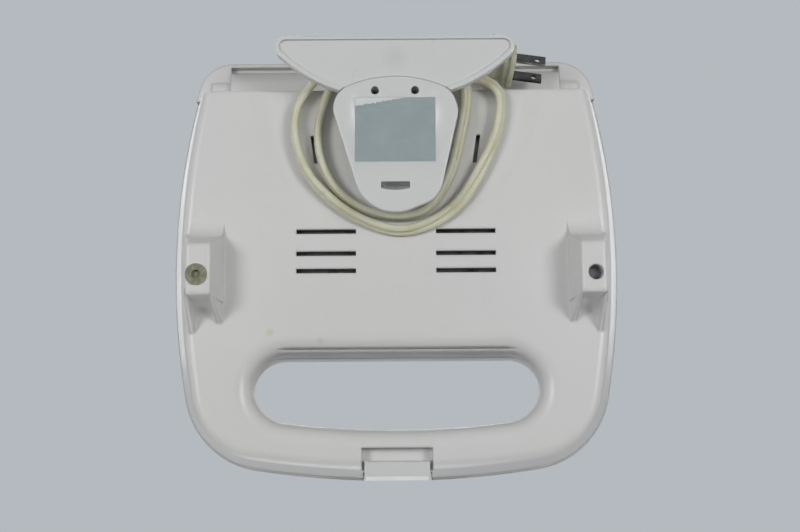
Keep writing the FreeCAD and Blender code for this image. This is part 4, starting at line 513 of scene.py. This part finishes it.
NODE_FINISHES: dict[Finish, tuple[str, ...]] = {
    Finish.HOUSING: ("base_housing", "lid_housing", "lower_frame", "upper_frame"),
    Finish.WRAP: ("cord_hub", "cord_cover", "rear_stand", "latch_clip"),
    Finish.COATING: ("lower_plate", "upper_plate"),
    Finish.PAN: ("lower_reflector", "upper_reflector"),
    Finish.HEATER: ("lower_heater", "upper_heater"),
    Finish.STEEL: ("lower_plate_screws", "upper_plate_screws", "latch_pin", "hinge_pin_left",
                   "hinge_pin_right"),
    Finish.DARK_STEEL: ("housing_screws", "cover_screws"),
    Finish.FOOT: ("rubber_foot",),
    Finish.FOIL: ("foil_sticker",),
    Finish.SENSOR: ("thermostat", "thermal_fuse"),
    Finish.BLOCK: ("terminal_block",),
    Finish.RED: ("power_lens",),
    Finish.GREEN: ("ready_lens",),
    Finish.GLASS: ("pilot_lamps",),
    Finish.PLUG: ("strain_relief", "plug_body"),
    Finish.BLADE: ("plug_blades",),
    Finish.CORD: ("power_cord",),
}


class Palette:
    """Makes each finish once and hands it out."""

    def __init__(self) -> None:
        """Start with nothing made."""
        self.made: dict[Finish, bpy.types.Material] = {}

    def get(self, finish: Finish) -> bpy.types.Material:
        """The material of a finish."""
        if finish not in self.made:
            self.made[finish] = finish.value.make()
        return self.made[finish]

    def paint(self, piece: bpy.types.Object, finish: Finish) -> None:
        """Give a piece a single finish.

        Args:
            piece: the object to paint.
            finish: what it is made of.
        """
        piece.data.materials.clear()
        piece.data.materials.append(self.get(finish))


# ---------------------------------------------------------------- studio

def add_object(name: str, data: bpy.types.ID) -> bpy.types.Object:
    """Make an object of some data and put it into the scene."""
    made = bpy.data.objects.new(name, data)
    bpy.context.collection.objects.link(made)
    return made


@dataclass
class Studio:
    """The camera under the press, the soft lamps, the pale floor and the plain surroundings."""

    focal_length: float = 53.96
    camera_place: Point = (-0.0021, -0.0939, -0.6206)
    tilt: float = math.radians(8.0)
    roll: float = math.radians(-0.37)
    surroundings: Colour = (0.46, 0.49, 0.52)
    floor_colour: Colour = (0.26, 0.265, 0.27)
    floor_glow: Colour = (0.40, 0.425, 0.45)
    floor_half: float = 12.0
    floor_level: float = -0.0003
    floor_shade: float = 0.97
    sensor_width: float = 36.0
    clip: tuple[float, float] = (0.01, 20.0)
    aim: Point = (0.0, 0.0, 0.04)
    ambient: float = 0.02
    lamps: tuple[tuple[str, Point, float, float], ...] = (
        ("key_right", (0.80, 0.12, -1.1), 0.5, 6.6),
        ("key_left", (-0.80, 0.12, -1.1), 0.5, 6.6),
        ("under_middle", (0.0, 0.35, -1.15), 2.4, 5.0),
        ("level_front", (0.0, -1.5, -0.02), 0.3, 3.0),
        ("level_right", (1.5, 0.1, -0.12), 0.8, 2.6),
        ("level_left", (-1.5, 0.1, -0.12), 0.8, 2.6),
        ("over_rear_right", (0.8, 1.0, 1.4), 2.4, 14.0),
        ("over_rear_left", (-0.8, 1.0, 1.4), 2.4, 14.0),
        ("over_front", (0.25, -1.6, 0.70), 1.3, 10.0),
    )

    def make_camera(self) -> None:
        """Place the camera and make it the scene's own."""
        data = bpy.data.cameras.new("camera")
        data.lens = self.focal_length
        data.sensor_width = self.sensor_width
        data.clip_start, data.clip_end = self.clip
        camera = add_object("camera", data)
        turn = Matrix(((-1.0, 0.0, 0.0),
                       (0.0, math.cos(self.tilt), -math.sin(self.tilt)),
                       (0.0, -math.sin(self.tilt), -math.cos(self.tilt)))).transposed()
        spin = Matrix.Rotation(self.roll, 4, "Z")
        camera.matrix_world = Matrix.Translation(self.camera_place) @ turn.to_4x4() @ spin
        bpy.context.scene.camera = camera

    def make_lamps(self) -> None:
        """Hang the soft lamps, each turned towards the press."""
        aim = Vector(self.aim)
        for name, place, size, watts in self.lamps:
            data = bpy.data.lights.new(name, "AREA")
            data.shape = "DISK"
            data.size = size
            data.energy = watts
            lamp = add_object(name, data)
            lamp.location = place
            lamp.rotation_euler = (aim - Vector(place)).to_track_quat("-Z", "Y").to_euler()

    def make_world(self) -> None:
        """Plain surroundings that the camera and reflections see, and an even soft light."""
        world = bpy.data.worlds.new("surroundings")
        bpy.context.scene.world = world
        world.use_nodes = True
        tree = world.node_tree
        tree.nodes.clear()
        output = tree.nodes.new("ShaderNodeOutputWorld")
        rays = tree.nodes.new("ShaderNodeLightPath")
        seen = tree.nodes.new("ShaderNodeBackground")
        seen.inputs["Color"].default_value = (*self.surroundings, 1.0)
        light = tree.nodes.new("ShaderNodeBackground")
        light.inputs["Color"].default_value = (1.0, 1.0, 1.0, 1.0)
        light.inputs["Strength"].default_value = self.ambient
        either = rays.outputs["Is Camera Ray"]
        for kind in ("Is Glossy Ray", "Is Transmission Ray"):
            largest = tree.nodes.new("ShaderNodeMath")
            largest.operation = "MAXIMUM"
            tree.links.new(either, largest.inputs[0])
            tree.links.new(rays.outputs[kind], largest.inputs[1])
            either = largest.outputs["Value"]
        mix = tree.nodes.new("ShaderNodeMixShader")
        tree.links.new(either, mix.inputs["Fac"])
        tree.links.new(light.outputs["Background"], mix.inputs[1])
        tree.links.new(seen.outputs["Background"], mix.inputs[2])
        tree.links.new(mix.outputs["Shader"], output.inputs["Surface"])

    def make_floor(self) -> None:
        """A pale floor that shows from above and lets the view and the light through from below."""
        bpy.ops.mesh.primitive_plane_add(size=2.0 * self.floor_half,
                                         location=(0.0, 0.0, self.floor_level))
        floor = bpy.context.active_object
        floor.name = "floor"
        graph = Graph("floor")
        grain = graph.ramp(graph.noise(9.0, 3.0), 0.3, 0.7)
        darker = tuple(self.floor_shade * part for part in self.floor_colour)
        colour = graph.blend(grain, self.floor_colour, darker)
        matt = graph.add("BsdfDiffuse")
        graph.link(colour, matt.inputs["Color"])
        clear = graph.add("BsdfTransparent")
        rays = graph.add("LightPath")
        behind = graph.add("NewGeometry").outputs["Backfacing"]
        unseen = graph.reckon("SUBTRACT", 1.0, rays.outputs["Is Camera Ray"])
        mix = graph.add("MixShader")
        graph.link(graph.reckon("MAXIMUM", behind, unseen), mix.inputs["Fac"])
        glow = graph.add("Emission")
        glow.inputs["Color"].default_value = (*self.floor_glow, 1.0)
        both = graph.add("AddShader")
        graph.link(matt.outputs["BSDF"], both.inputs[0])
        graph.link(glow.outputs["Emission"], both.inputs[1])
        graph.link(both.outputs["Shader"], mix.inputs[1])
        graph.link(clear.outputs["BSDF"], mix.inputs[2])
        graph.link(mix.outputs["Shader"], graph.output.inputs["Surface"])
        floor.data.materials.append(graph.material)

    def build(self) -> None:
        """Set the whole studio up."""
        bpy.context.scene.view_settings.view_transform = "Standard"
        self.make_camera()
        self.make_lamps()
        self.make_world()
        self.make_floor()


# ---------------------------------------------------------------- shared steps

def pick(piece: bpy.types.Object, wanted: Callable[[Vector], bool], kind: str = "VERT") -> None:
    """Select the vertices, edges or faces whose middle is wanted, and leave edit mode on.

    Args:
        piece: the object in edit mode.
        wanted: tells from a middle whether the item is selected.
        kind: VERT, EDGE or FACE.
    """
    bpy.ops.mesh.select_mode(type=kind)
    bpy.ops.mesh.select_all(action="DESELECT")
    bpy.ops.object.mode_set(mode="OBJECT")
    mesh = piece.data
    places = [vertex.co for vertex in mesh.vertices]
    if kind == "VERT":
        for vertex in mesh.vertices:
            vertex.select = wanted(vertex.co)
    elif kind == "EDGE":
        for edge in mesh.edges:
            edge.select = wanted((places[edge.vertices[0]] + places[edge.vertices[1]]) / 2)
    else:
        for face in mesh.polygons:
            face.select = wanted(face.center)
    bpy.ops.object.mode_set(mode="EDIT")


def select_only(piece: bpy.types.Object) -> None:
    """Select one object, drop the rest of the selection and make it the active one."""
    bpy.ops.object.select_all(action="DESELECT")
    piece.select_set(True)
    bpy.context.view_layer.objects.active = piece


def settle(piece: bpy.types.Object, name: str) -> None:
    """Name a piece and put its place, turn and size into its mesh.

    Args:
        piece: the object, in object mode.
        name: its name.
    """
    select_only(piece)
    bpy.ops.object.transform_apply(location=True, rotation=True, scale=True)
    piece.name = name
    piece.data.name = name


def tidy_mesh(piece: bpy.types.Object, angle: float) -> None:
    """Merge doubles, turn the faces outwards and smooth over soft angles.

    Args:
        piece: the object, in object mode.
        angle: edges flatter than this are smooth, in degrees.
    """
    select_only(piece)
    bpy.ops.object.mode_set(mode="EDIT")
    bpy.ops.mesh.select_all(action="SELECT")
    bpy.ops.mesh.remove_doubles(threshold=MERGE)
    bpy.ops.mesh.normals_make_consistent(inside=False)
    bpy.ops.object.mode_set(mode="OBJECT")
    bpy.ops.object.shade_smooth_by_angle(angle=math.radians(angle))


def use_modifier(piece: bpy.types.Object, kind: str, **values: object) -> None:
    """Add a modifier and apply it.

    Args:
        piece: the object, in object mode.
        kind: the modifier's type.
        values: its settings.
    """
    modifier = piece.modifiers.new(kind.lower(), kind)
    for word, value in values.items():
        setattr(modifier, word, value)
    bpy.context.view_layer.objects.active = piece
    bpy.ops.object.modifier_apply(modifier=modifier.name)


def join(pieces: list[bpy.types.Object]) -> bpy.types.Object:
    """Join pieces into the first of them.

    Args:
        pieces: the objects.

    Returns:
        The joined object.
    """
    bpy.ops.object.select_all(action="DESELECT")
    for piece in pieces:
        piece.select_set(True)
    bpy.context.view_layer.objects.active = pieces[0]
    bpy.ops.object.join()
    return pieces[0]


# ---------------------------------------------------------------- lead

@dataclass
class Lead:
    """The flat twin lead, from the strain relief twice round the wrap to the plug."""

    palette: Palette
    width: float = 0.0074
    thickness: float = 0.0040
    web: float = 0.0022
    length: float = 0.648
    sleeve_length: float = 0.0225
    sleeve_root: float = 0.0045
    sleeve_tip: float = 0.0040
    sleeve_groove: float = 0.00035
    sleeve_pitch: float = 0.0030
    sleeve_ribbed: float = 0.9
    sleeve_parts: int = 4
    section_steps: int = 14
    line_steps: int = 8
    round_steps: int = 8
    smooth: float = 50.0
    tilts: tuple[float, ...] = (
        0, 0, 20, 50, 70, 80, 82, 82, 82, 84, 84, 80, 60, 50, 45, 40, 30, 20, 30, 50, 70, 76,
        76, 72, 62, 62, 64, 40, 8, 35, 58, 60, 50, 30, 20, 18, 15, 15, 18, 22, 31,
    )
    route: tuple[Point, ...] = (
        (-0.0091, 0.0995, 0.0320), (-0.0039, 0.1063, 0.0320), (0.0059, 0.1113, 0.0298),
        (0.0203, 0.1108, 0.0250), (0.0332, 0.1038, 0.0201), (0.0408, 0.0816, 0.0192),
        (0.0431, 0.0693, 0.0193), (0.0408, 0.0530, 0.0193), (0.0329, 0.0375, 0.0193),
        (0.0170, 0.0261, 0.0193), (-0.0014, 0.0220, 0.0193), (-0.0180, 0.0254, 0.0192),
        (-0.0303, 0.0454, 0.0193), (-0.0354, 0.0657, 0.0194), (-0.0401, 0.0889, 0.0187),
        (-0.0375, 0.1034, 0.0171), (-0.0255, 0.1148, 0.0148), (-0.0065, 0.1158, 0.0141),
        (0.0147, 0.1151, 0.0140), (0.0333, 0.1102, 0.0141), (0.0479, 0.0943, 0.0184),
        (0.0550, 0.0836, 0.0195), (0.0557, 0.0677, 0.0193), (0.0494, 0.0479, 0.0193),
        (0.0361, 0.0326, 0.0193), (0.0195, 0.0212, 0.0193), (-0.0019, 0.0138, 0.0193),
        (-0.0214, 0.0198, 0.0195), (-0.0353, 0.0306, 0.0204), (-0.0463, 0.0481, 0.0198),
        (-0.0552, 0.0663, 0.0193), (-0.0590, 0.0856, 0.0191), (-0.0566, 0.0948, 0.0182),
        (-0.0445, 0.1012, 0.0180), (-0.0340, 0.0990, 0.0172), (-0.0225, 0.0983, 0.0172),
        (-0.0135, 0.1000, 0.0182), (-0.0105, 0.1048, 0.0208), (-0.0140, 0.1102, 0.0234),
        (-0.0230, 0.1132, 0.0245), (-0.0370, 0.1124, 0.0245),
    )

    def make_line(self) -> bpy.types.Object:
        """The lead's centreline as a smooth curve.

        Returns:
            A curve object of one open spline.
        """
        data = bpy.data.curves.new("lead_line", "CURVE")
        data.dimensions = "3D"
        data.twist_mode = "Z_UP"
        data.resolution_u = self.line_steps
        spline = data.splines.new("NURBS")
        spline.points.add(len(self.route) - 1)
        for i, place in enumerate(self.route):
            spline.points[i].co = (*place, 1.0)
            spline.points[i].tilt = math.radians(self.tilts[i])
        spline.order_u = 3
        spline.use_endpoint_u = True
        return add_object("lead_line", data)

    def make_section(self) -> bpy.types.Object:
        """The lead's section: two round cores joined by a web.

        Returns:
            A closed curve object.
        """
        data = bpy.data.curves.new("lead_section", "CURVE")
        data.dimensions = "2D"
        spline = data.splines.new("POLY")
        radius = self.thickness / 2
        reach = self.width / 2 - radius
        upper = []
        for i in range(self.section_steps + 1):
            across = self.width / 2 * math.cos(math.pi * i / self.section_steps)
            beyond = abs(abs(across) - reach)
            height = math.sqrt(max(radius ** 2 - beyond ** 2, 0.0))
            if abs(across) < reach:
                height = max(height, self.web / 2)
            upper.append((across, height))
        outline = upper + [(across, -height) for across, height in reversed(upper[1:-1])]
        spline.points.add(len(outline) - 1)
        for point, (across, height) in zip(spline.points, outline):
            point.co = (across, height, 0.0, 1.0)
        spline.use_cyclic_u = True
        return add_object("lead_section", data)

    def make_sleeve(self, path: list[Point]) -> bpy.types.Object:
        """The ribbed, tapered sleeve on the lead's first stretch.

        Args:
            path: points along the lead's centreline.

        Returns:
            The sleeve.
        """
        places, along, gone = [Vector(path[0])], [0.0], 0.0
        for first, second in zip(path, path[1:]):
            step = Vector(second) - Vector(first)
            for part in range(1, self.sleeve_parts + 1):
                share = part / self.sleeve_parts
                if gone + step.length * share > self.sleeve_length:
                    break
                places.append(Vector(first) + step * share)
                along.append(gone + step.length * share)
            gone += step.length
            if gone > self.sleeve_length:
                break
        data = bpy.data.curves.new("sleeve_line", "CURVE")
        data.dimensions = "3D"
        data.bevel_depth = MILLIMETRE
        data.bevel_resolution = self.round_steps
        data.use_fill_caps = True
        spline = data.splines.new("POLY")
        spline.points.add(len(places) - 1)
        for point, place, run in zip(spline.points, places, along):
            share = run / self.sleeve_length
            radius = self.sleeve_root + (self.sleeve_tip - self.sleeve_root) * share
            ring = 0.5 + 0.5 * math.cos(2 * math.pi * run / self.sleeve_pitch)
            point.co = (*place, 1.0)
            ribbed = 0.0 < share < self.sleeve_ribbed
            point.radius = (radius - self.sleeve_groove * (1 - ring) * ribbed) / MILLIMETRE
        select_only(add_object("strain_sleeve", data))
        bpy.ops.object.convert(target="MESH")
        sleeve = bpy.context.active_object
        tidy_mesh(sleeve, self.smooth)
        self.palette.paint(sleeve, Finish.PLUG)
        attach(sleeve, "base")
        logger.info("strain_sleeve: %.1f mm long", along[-1] / MILLIMETRE)
        return sleeve

    def build(self, with_pieces: list[object]) -> None:
        """Args:
            with_pieces: the pieces of its plug; not used.
        """
        line = self.make_line()
        plain = bpy.data.meshes.new_from_object(line)
        path = [tuple(vertex.co) for vertex in plain.vertices]
        path = [place for place, after in zip(path, path[1:] + [None])
                if after is None or (Vector(place) - Vector(after)).length > SLACK]
        run = sum((Vector(a) - Vector(b)).length for a, b in zip(path, path[1:]))
        logger.info("lead: %.1f mm along its centreline", run / MILLIMETRE)
        section = self.make_section()
        line.data.bevel_mode = "OBJECT"
        line.data.bevel_object = section
        line.data.use_fill_caps = True
        select_only(line)
        bpy.ops.object.convert(target="MESH")
        lead = bpy.context.active_object
        lead.name = "twin_lead"
        bpy.data.objects.remove(section)
        bpy.data.meshes.remove(plain)
        tidy_mesh(lead, self.smooth)
        self.palette.paint(lead, Finish.CORD)
        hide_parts("power_cord")
        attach(lead, "base")
        self.make_sleeve(path)


@dataclass
class Plug:
    """The moulded plug: a waisted grip that widens towards a flat flange."""

    palette: Palette
    tail: Point = (-0.0370, 0.1124, 0.0245)
    heading: Point = (-6.1, -0.8, 0.2)
    roll: float = math.radians(31.0)
    rings: tuple[Point, ...] = (
        (0.0000, 0.0040, 0.0037), (0.0010, 0.0043, 0.0039), (0.0040, 0.0047, 0.0040),
        (0.0080, 0.0060, 0.0046), (0.0120, 0.0075, 0.0052), (0.0150, 0.0083, 0.0053),
        (0.0172, 0.0083, 0.0048), (0.0196, 0.0080, 0.0044), (0.0218, 0.0084, 0.0047),
        (0.0230, 0.0092, 0.0058), (0.0240, 0.0095, 0.0062), (0.0264, 0.0095, 0.0062),
    )
    grip_corner: float = 0.0024
    flange: Point = (0.0262, 0.0294, 0.0125)
    flange_depth: float = 0.0074
    flange_corner: float = 0.0049
    flange_edge: float = 0.0007
    corner_start: tuple[float, float] = (0.0035, 0.0030)
    ring_slack: float = 0.00001
    grip_segments: int = 5
    corner_segments: int = 8
    edge_segments: int = 3
    smooth: float = 40.0

    def place(self) -> Matrix:
        """Where the plug's own axes lie: X runs from the lead to the blades."""
        turn = Vector((1.0, 0.0, 0.0)).rotation_difference(Vector(self.heading))
        return (Matrix.Translation(self.tail) @ turn.to_matrix().to_4x4()
                @ Matrix.Rotation(self.roll, 4, "X"))

    def make_grip(self) -> bpy.types.Object:
        """The grip, extruded ring by ring from the lead's end.

        Returns:
            The grip, in the plug's own axes.
        """
        first, second = self.rings[0], self.rings[1]
        bpy.ops.mesh.primitive_cube_add(size=1.0)
        grip = bpy.context.active_object
        grip.scale = (second[0] - first[0], 2 * first[1], 2 * first[2])
        grip.location = ((first[0] + second[0]) / 2, 0.0, 0.0)
        settle(grip, "plug_grip")
        bpy.ops.object.mode_set(mode="EDIT")
        end = second[0] - SLACK
        pick(grip, lambda place: place.x > end, "FACE")
        bpy.ops.transform.resize(value=(1.0, second[1] / first[1], second[2] / first[2]),
                                 center_override=(second[0], 0.0, 0.0))
        for before, after in zip(self.rings[1:], self.rings[2:]):
            bpy.ops.mesh.extrude_region_move(
                TRANSFORM_OT_translate={"value": (after[0] - before[0], 0.0, 0.0)})
            bpy.ops.transform.resize(
                value=(1.0, after[1] / before[1], after[2] / before[2]),
                center_override=(after[0], 0.0, 0.0))
        wide, deep = self.corner_start
        pick(grip, lambda place: abs(place.y) > wide and abs(place.z) > deep
             and not any(abs(place.x - ring[0]) < self.ring_slack for ring in self.rings), "EDGE")
        bpy.ops.mesh.bevel(offset=self.grip_corner, segments=self.grip_segments, affect="EDGES",
                           clamp_overlap=True)
        bpy.ops.object.mode_set(mode="OBJECT")
        tidy_mesh(grip, self.smooth)
        return grip

    def make_flange(self) -> bpy.types.Object:
        """The flange, a plate with rounded corners and softened edges.

        Returns:
            The flange, in the plug's own axes.
        """
        start, end, half = self.flange
        bpy.ops.mesh.primitive_cube_add(size=1.0)
        flange = bpy.context.active_object
        flange.scale = (end - start, 2 * half, 2 * self.flange_depth)
        flange.location = ((start + end) / 2, 0.0, 0.0)
        settle(flange, "plug_flange")
        bpy.ops.object.mode_set(mode="EDIT")
        pick(flange, lambda place: abs(place.y) > half - SLACK
             and abs(place.z) > self.flange_depth - SLACK, "EDGE")
        bpy.ops.mesh.bevel(offset=self.flange_corner, segments=self.corner_segments,
                           affect="EDGES")
        pick(flange, lambda place: min(abs(place.x - start), abs(place.x - end)) < SLACK, "EDGE")
        bpy.ops.mesh.bevel(offset=self.flange_edge, segments=self.edge_segments, affect="EDGES")
        bpy.ops.object.mode_set(mode="OBJECT")
        tidy_mesh(flange, self.smooth)
        return flange

    def build(self) -> list[bpy.types.Object]:
        """Make the plug's two pieces in their place.

        Returns:
            The pieces.
        """
        pieces = [self.make_grip(), self.make_flange()]
        for piece, name in zip(pieces, ("plug_grip", "plug_flange")):
            piece.matrix_world = self.place()
            settle(piece, name)
            self.palette.paint(piece, Finish.PLUG)
            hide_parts("plug_body")
            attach(piece, "base")
            logger.info("%s: %d faces", name, len(piece.data.polygons))
        return pieces


# ---------------------------------------------------------------- press

@dataclass
class Sticker:
    """The bare foil sticker in its shallow recess, creased where a corner was pulled."""

    palette: Palette
    half: float = 0.0213
    front: float = 0.0493
    rear: float = 0.0841
    level: float = 0.00012
    thickness: float = 0.00005
    cells: int = 120
    creases: tuple[tuple[float, float, float, float, float, float], ...] = (
        (0.0213, 0.0800, 0.0060, 0.0829, 0.00011, 0.0009),
        (0.0213, 0.0788, 0.0100, 0.0812, -0.00009, 0.0008),
        (0.0190, 0.0778, 0.0020, 0.0808, 0.00011, 0.0009),
        (0.0060, 0.0829, -0.0120, 0.0836, 0.00010, 0.0010),
        (0.0213, 0.0765, 0.0120, 0.0782, 0.00009, 0.0011),
        (-0.0020, 0.0818, -0.0160, 0.0822, -0.00008, 0.0009),
    )
    crease_start: float = 0.0002
    unevenness: float = 0.00003
    cloud_size: float = 0.008
    smooth: float = 60.0

    def build(self) -> None:
        """Make the sticker, press its creases in and dress it."""
        bpy.ops.mesh.primitive_grid_add(x_subdivisions=self.cells, y_subdivisions=self.cells,
                                        size=1.0)
        sheet = bpy.context.active_object
        sheet.scale = (2 * self.half, self.rear - self.front, 1.0)
        sheet.location = (0.0, (self.front + self.rear) / 2, self.level)
        settle(sheet, "foil_sheet")
        bpy.ops.object.mode_set(mode="EDIT")
        for x0, y0, x1, y1, height, width in self.creases:
            run = Vector((x1 - x0, y1 - y0, 0.0))

            def near(place: Vector) -> bool:
                """Whether a place lies on the crease."""
                way = Vector((place.x - x0, place.y - y0, 0.0))
                share = min(max(way.dot(run) / run.length_squared, 0.0), 1.0)
                return (way - share * run).length < self.crease_start

            pick(sheet, near)
            bpy.ops.transform.translate(value=(0.0, 0.0, -height), use_proportional_edit=True,
                                        proportional_edit_falloff="SMOOTH",
                                        proportional_size=width)
        bpy.ops.object.mode_set(mode="OBJECT")
        clouds = bpy.data.textures.new("foil_clouds", "CLOUDS")
        clouds.noise_scale = self.cloud_size
        use_modifier(sheet, "DISPLACE", texture=clouds, texture_coords="LOCAL",
                     strength=self.unevenness, mid_level=0.5)
        use_modifier(sheet, "SOLIDIFY", thickness=self.thickness, offset=0.0)
        tidy_mesh(sheet, self.smooth)
        self.palette.paint(sheet, Finish.FOIL)
        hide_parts("foil_sticker")
        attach(sheet, "base")
        logger.info("foil_sheet: %d faces", len(sheet.data.polygons))


@dataclass
class Tongue:
    """The wrap's cover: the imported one, a little fuller along its flank towards -X.

    Each step gives a Y and how far the flank stands out there.
    """

    palette: Palette
    steps: tuple[tuple[float, float], ...] = (
        (0.0820, 0.0), (0.0771, 0.0008), (0.0666, 0.0024), (0.0560, 0.0037),
        (0.0457, 0.0039), (0.0352, 0.0040), (0.0200, 0.0040),
    )
    sticker_front: float = 0.0490
    slot_rear: float = 0.0440
    beside_sticker: tuple[float, float] = (0.0217, 0.0250)
    beside_slot: tuple[float, float] = (0.0090, 0.0170)
    smooth: float = 30.0

    def widening(self, place: Vector) -> float:
        """How far a place moves towards -X.

        Args:
            place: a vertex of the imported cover.

        Returns:
            The distance, which is 0 under the sticker, round the slot and towards +X.
        """
        if place.y >= self.steps[0][0] or place.x >= 0.0:
            return 0.0
        most = self.steps[-1][1]
        for (rear, low), (front, high) in zip(self.steps, self.steps[1:]):
            if front <= place.y < rear:
                most = low + (high - low) * (rear - place.y) / (rear - front)
        share = min(max((self.sticker_front - place.y)
                        / (self.sticker_front - self.slot_rear), 0.0), 1.0)
        start, end = [side + (near - side) * share
                      for side, near in zip(self.beside_sticker, self.beside_slot)]
        way = min(max((-place.x - start) / (end - start), 0.0), 1.0)
        return most * way * way * (3.0 - 2.0 * way)

    def build(self, node: bpy.types.Object) -> None:
        """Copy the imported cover, merge its triangles, widen it and dress it.

        Args:
            node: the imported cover.
        """
        tongue = add_object("cover_tongue", node.data.copy())
        tidy_mesh(tongue, self.smooth)
        for vertex in tongue.data.vertices:
            vertex.co.x -= self.widening(vertex.co)
        self.palette.paint(tongue, Finish.WRAP)
        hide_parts("cord_cover")
        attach(tongue, "base")
        logger.info("cover_tongue: %d faces", len(tongue.data.polygons))


class Side(Enum):
    """The two sides of the press, by the sign of X."""

    RIGHT = 1.0
    LEFT = -1.0


@dataclass
class PostCoves:
    """The hollow curves that lead from the underside up the front and rear of each post."""

    palette: Palette
    under: float = 0.0230
    top: float = 0.0008
    sink: float = 0.0005
    inner: float = 0.0934
    inner_top: float = 0.0974
    outer: float = 0.1115
    fin_inner: float = 0.0960
    fin_outer: float = 0.1105
    rear: tuple[float, float, float] = (0.01415, 0.0062, 0.0081)
    front: tuple[float, float, float] = (-0.02305, -0.0206, 0.0095)
    skin: float = 0.0001
    round_steps: int = 192
    cutter_length: float = 0.1
    smooth: float = 30.0

    def make_cove(self, side: Side, root: float, edge: float, reach: float,
                  ends: tuple[float, float]) -> bpy.types.Object:
        """One cove: a block in the corner with a cylinder taken out of it.

        Args:
            side: which post.
            root: Y of the post's face at the underside.
            edge: Y of the post's face at its top.
            reach: how far the cove runs along the underside and up the face.
            ends: the inner and outer X, without their sign.

        Returns:
            The cove.
        """
        away = 1.0 if root > edge else -1.0
        lean = math.atan2(abs(root - edge), self.under - self.top)
        radius = reach * math.tan((math.pi / 2 + lean) / 2)
        near_y = root - away * reach * math.sin(lean)
        far_y = root + away * reach
        high = self.under - reach * math.cos(lean)
        low = self.under + self.sink
        bpy.ops.mesh.primitive_cube_add(size=1.0)
        cove = bpy.context.active_object
        cove.scale = (ends[1] - ends[0], abs(far_y - near_y), low - high)
        cove.location = (side.value * (ends[0] + ends[1]) / 2, (near_y + far_y) / 2,
                         (low + high) / 2)
        settle(cove, "cove")
        bpy.ops.mesh.primitive_cylinder_add(
            vertices=self.round_steps, radius=radius, depth=self.cutter_length,
            rotation=(0.0, math.pi / 2, 0.0),
            location=(side.value * self.inner, far_y, self.under - radius))
        cutter = bpy.context.active_object
        use_modifier(cove, "BOOLEAN", operation="DIFFERENCE", object=cutter, solver="EXACT")
        bpy.data.objects.remove(cutter)
        return cove

    def build(self) -> None:
        """Make the coves of both posts and dress them."""
        for side in Side:
            rear = self.make_cove(side, *self.rear, (self.inner, self.outer))
            select_only(rear)
            bpy.ops.object.mode_set(mode="EDIT")
            bpy.ops.mesh.select_all(action="SELECT")
            slope = (self.inner_top - self.inner) / (self.under - self.top)
            bpy.ops.mesh.bisect(plane_co=(side.value * (self.inner + self.skin), 0.0, self.under),
                                plane_no=(-side.value, 0.0, -slope), use_fill=True,
                                clear_outer=True)
            bpy.ops.object.mode_set(mode="OBJECT")
            front = self.make_cove(side, *self.front, (self.fin_inner, self.fin_outer))
            coves = join([rear, front])
            name = "post_coves_" + side.name.lower()
            settle(coves, name)
            tidy_mesh(coves, self.smooth)
            self.palette.paint(coves, Finish.COVE)
            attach(coves, "base")
            logger.info("%s: %d faces", name, len(coves.data.polygons))


def dress_nodes(frame: dict, palette: Palette) -> None:
    """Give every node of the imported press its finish.

    Args:
        palette: the finishes.
    """
    for finish, names in NODE_FINISHES.items():
        for name in names:
            palette.paint(frame["nodes"][name], finish)
            logger.info("%s: %s", name, finish.name.lower())


def main() -> None:
    """Build the studio and the pieces in order."""
    logging.basicConfig(level=logging.INFO, format="%(name)s: %(message)s")
    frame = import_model()
    palette = Palette()
    Studio().build()
    dress_nodes(frame, palette)
    Lead(palette).build(Plug(palette).build())
    Tongue(palette).build(frame["nodes"]["cord_cover"])
    Sticker(palette).build()
    PostCoves(palette).build()


if __name__ == "__main__":
    main()
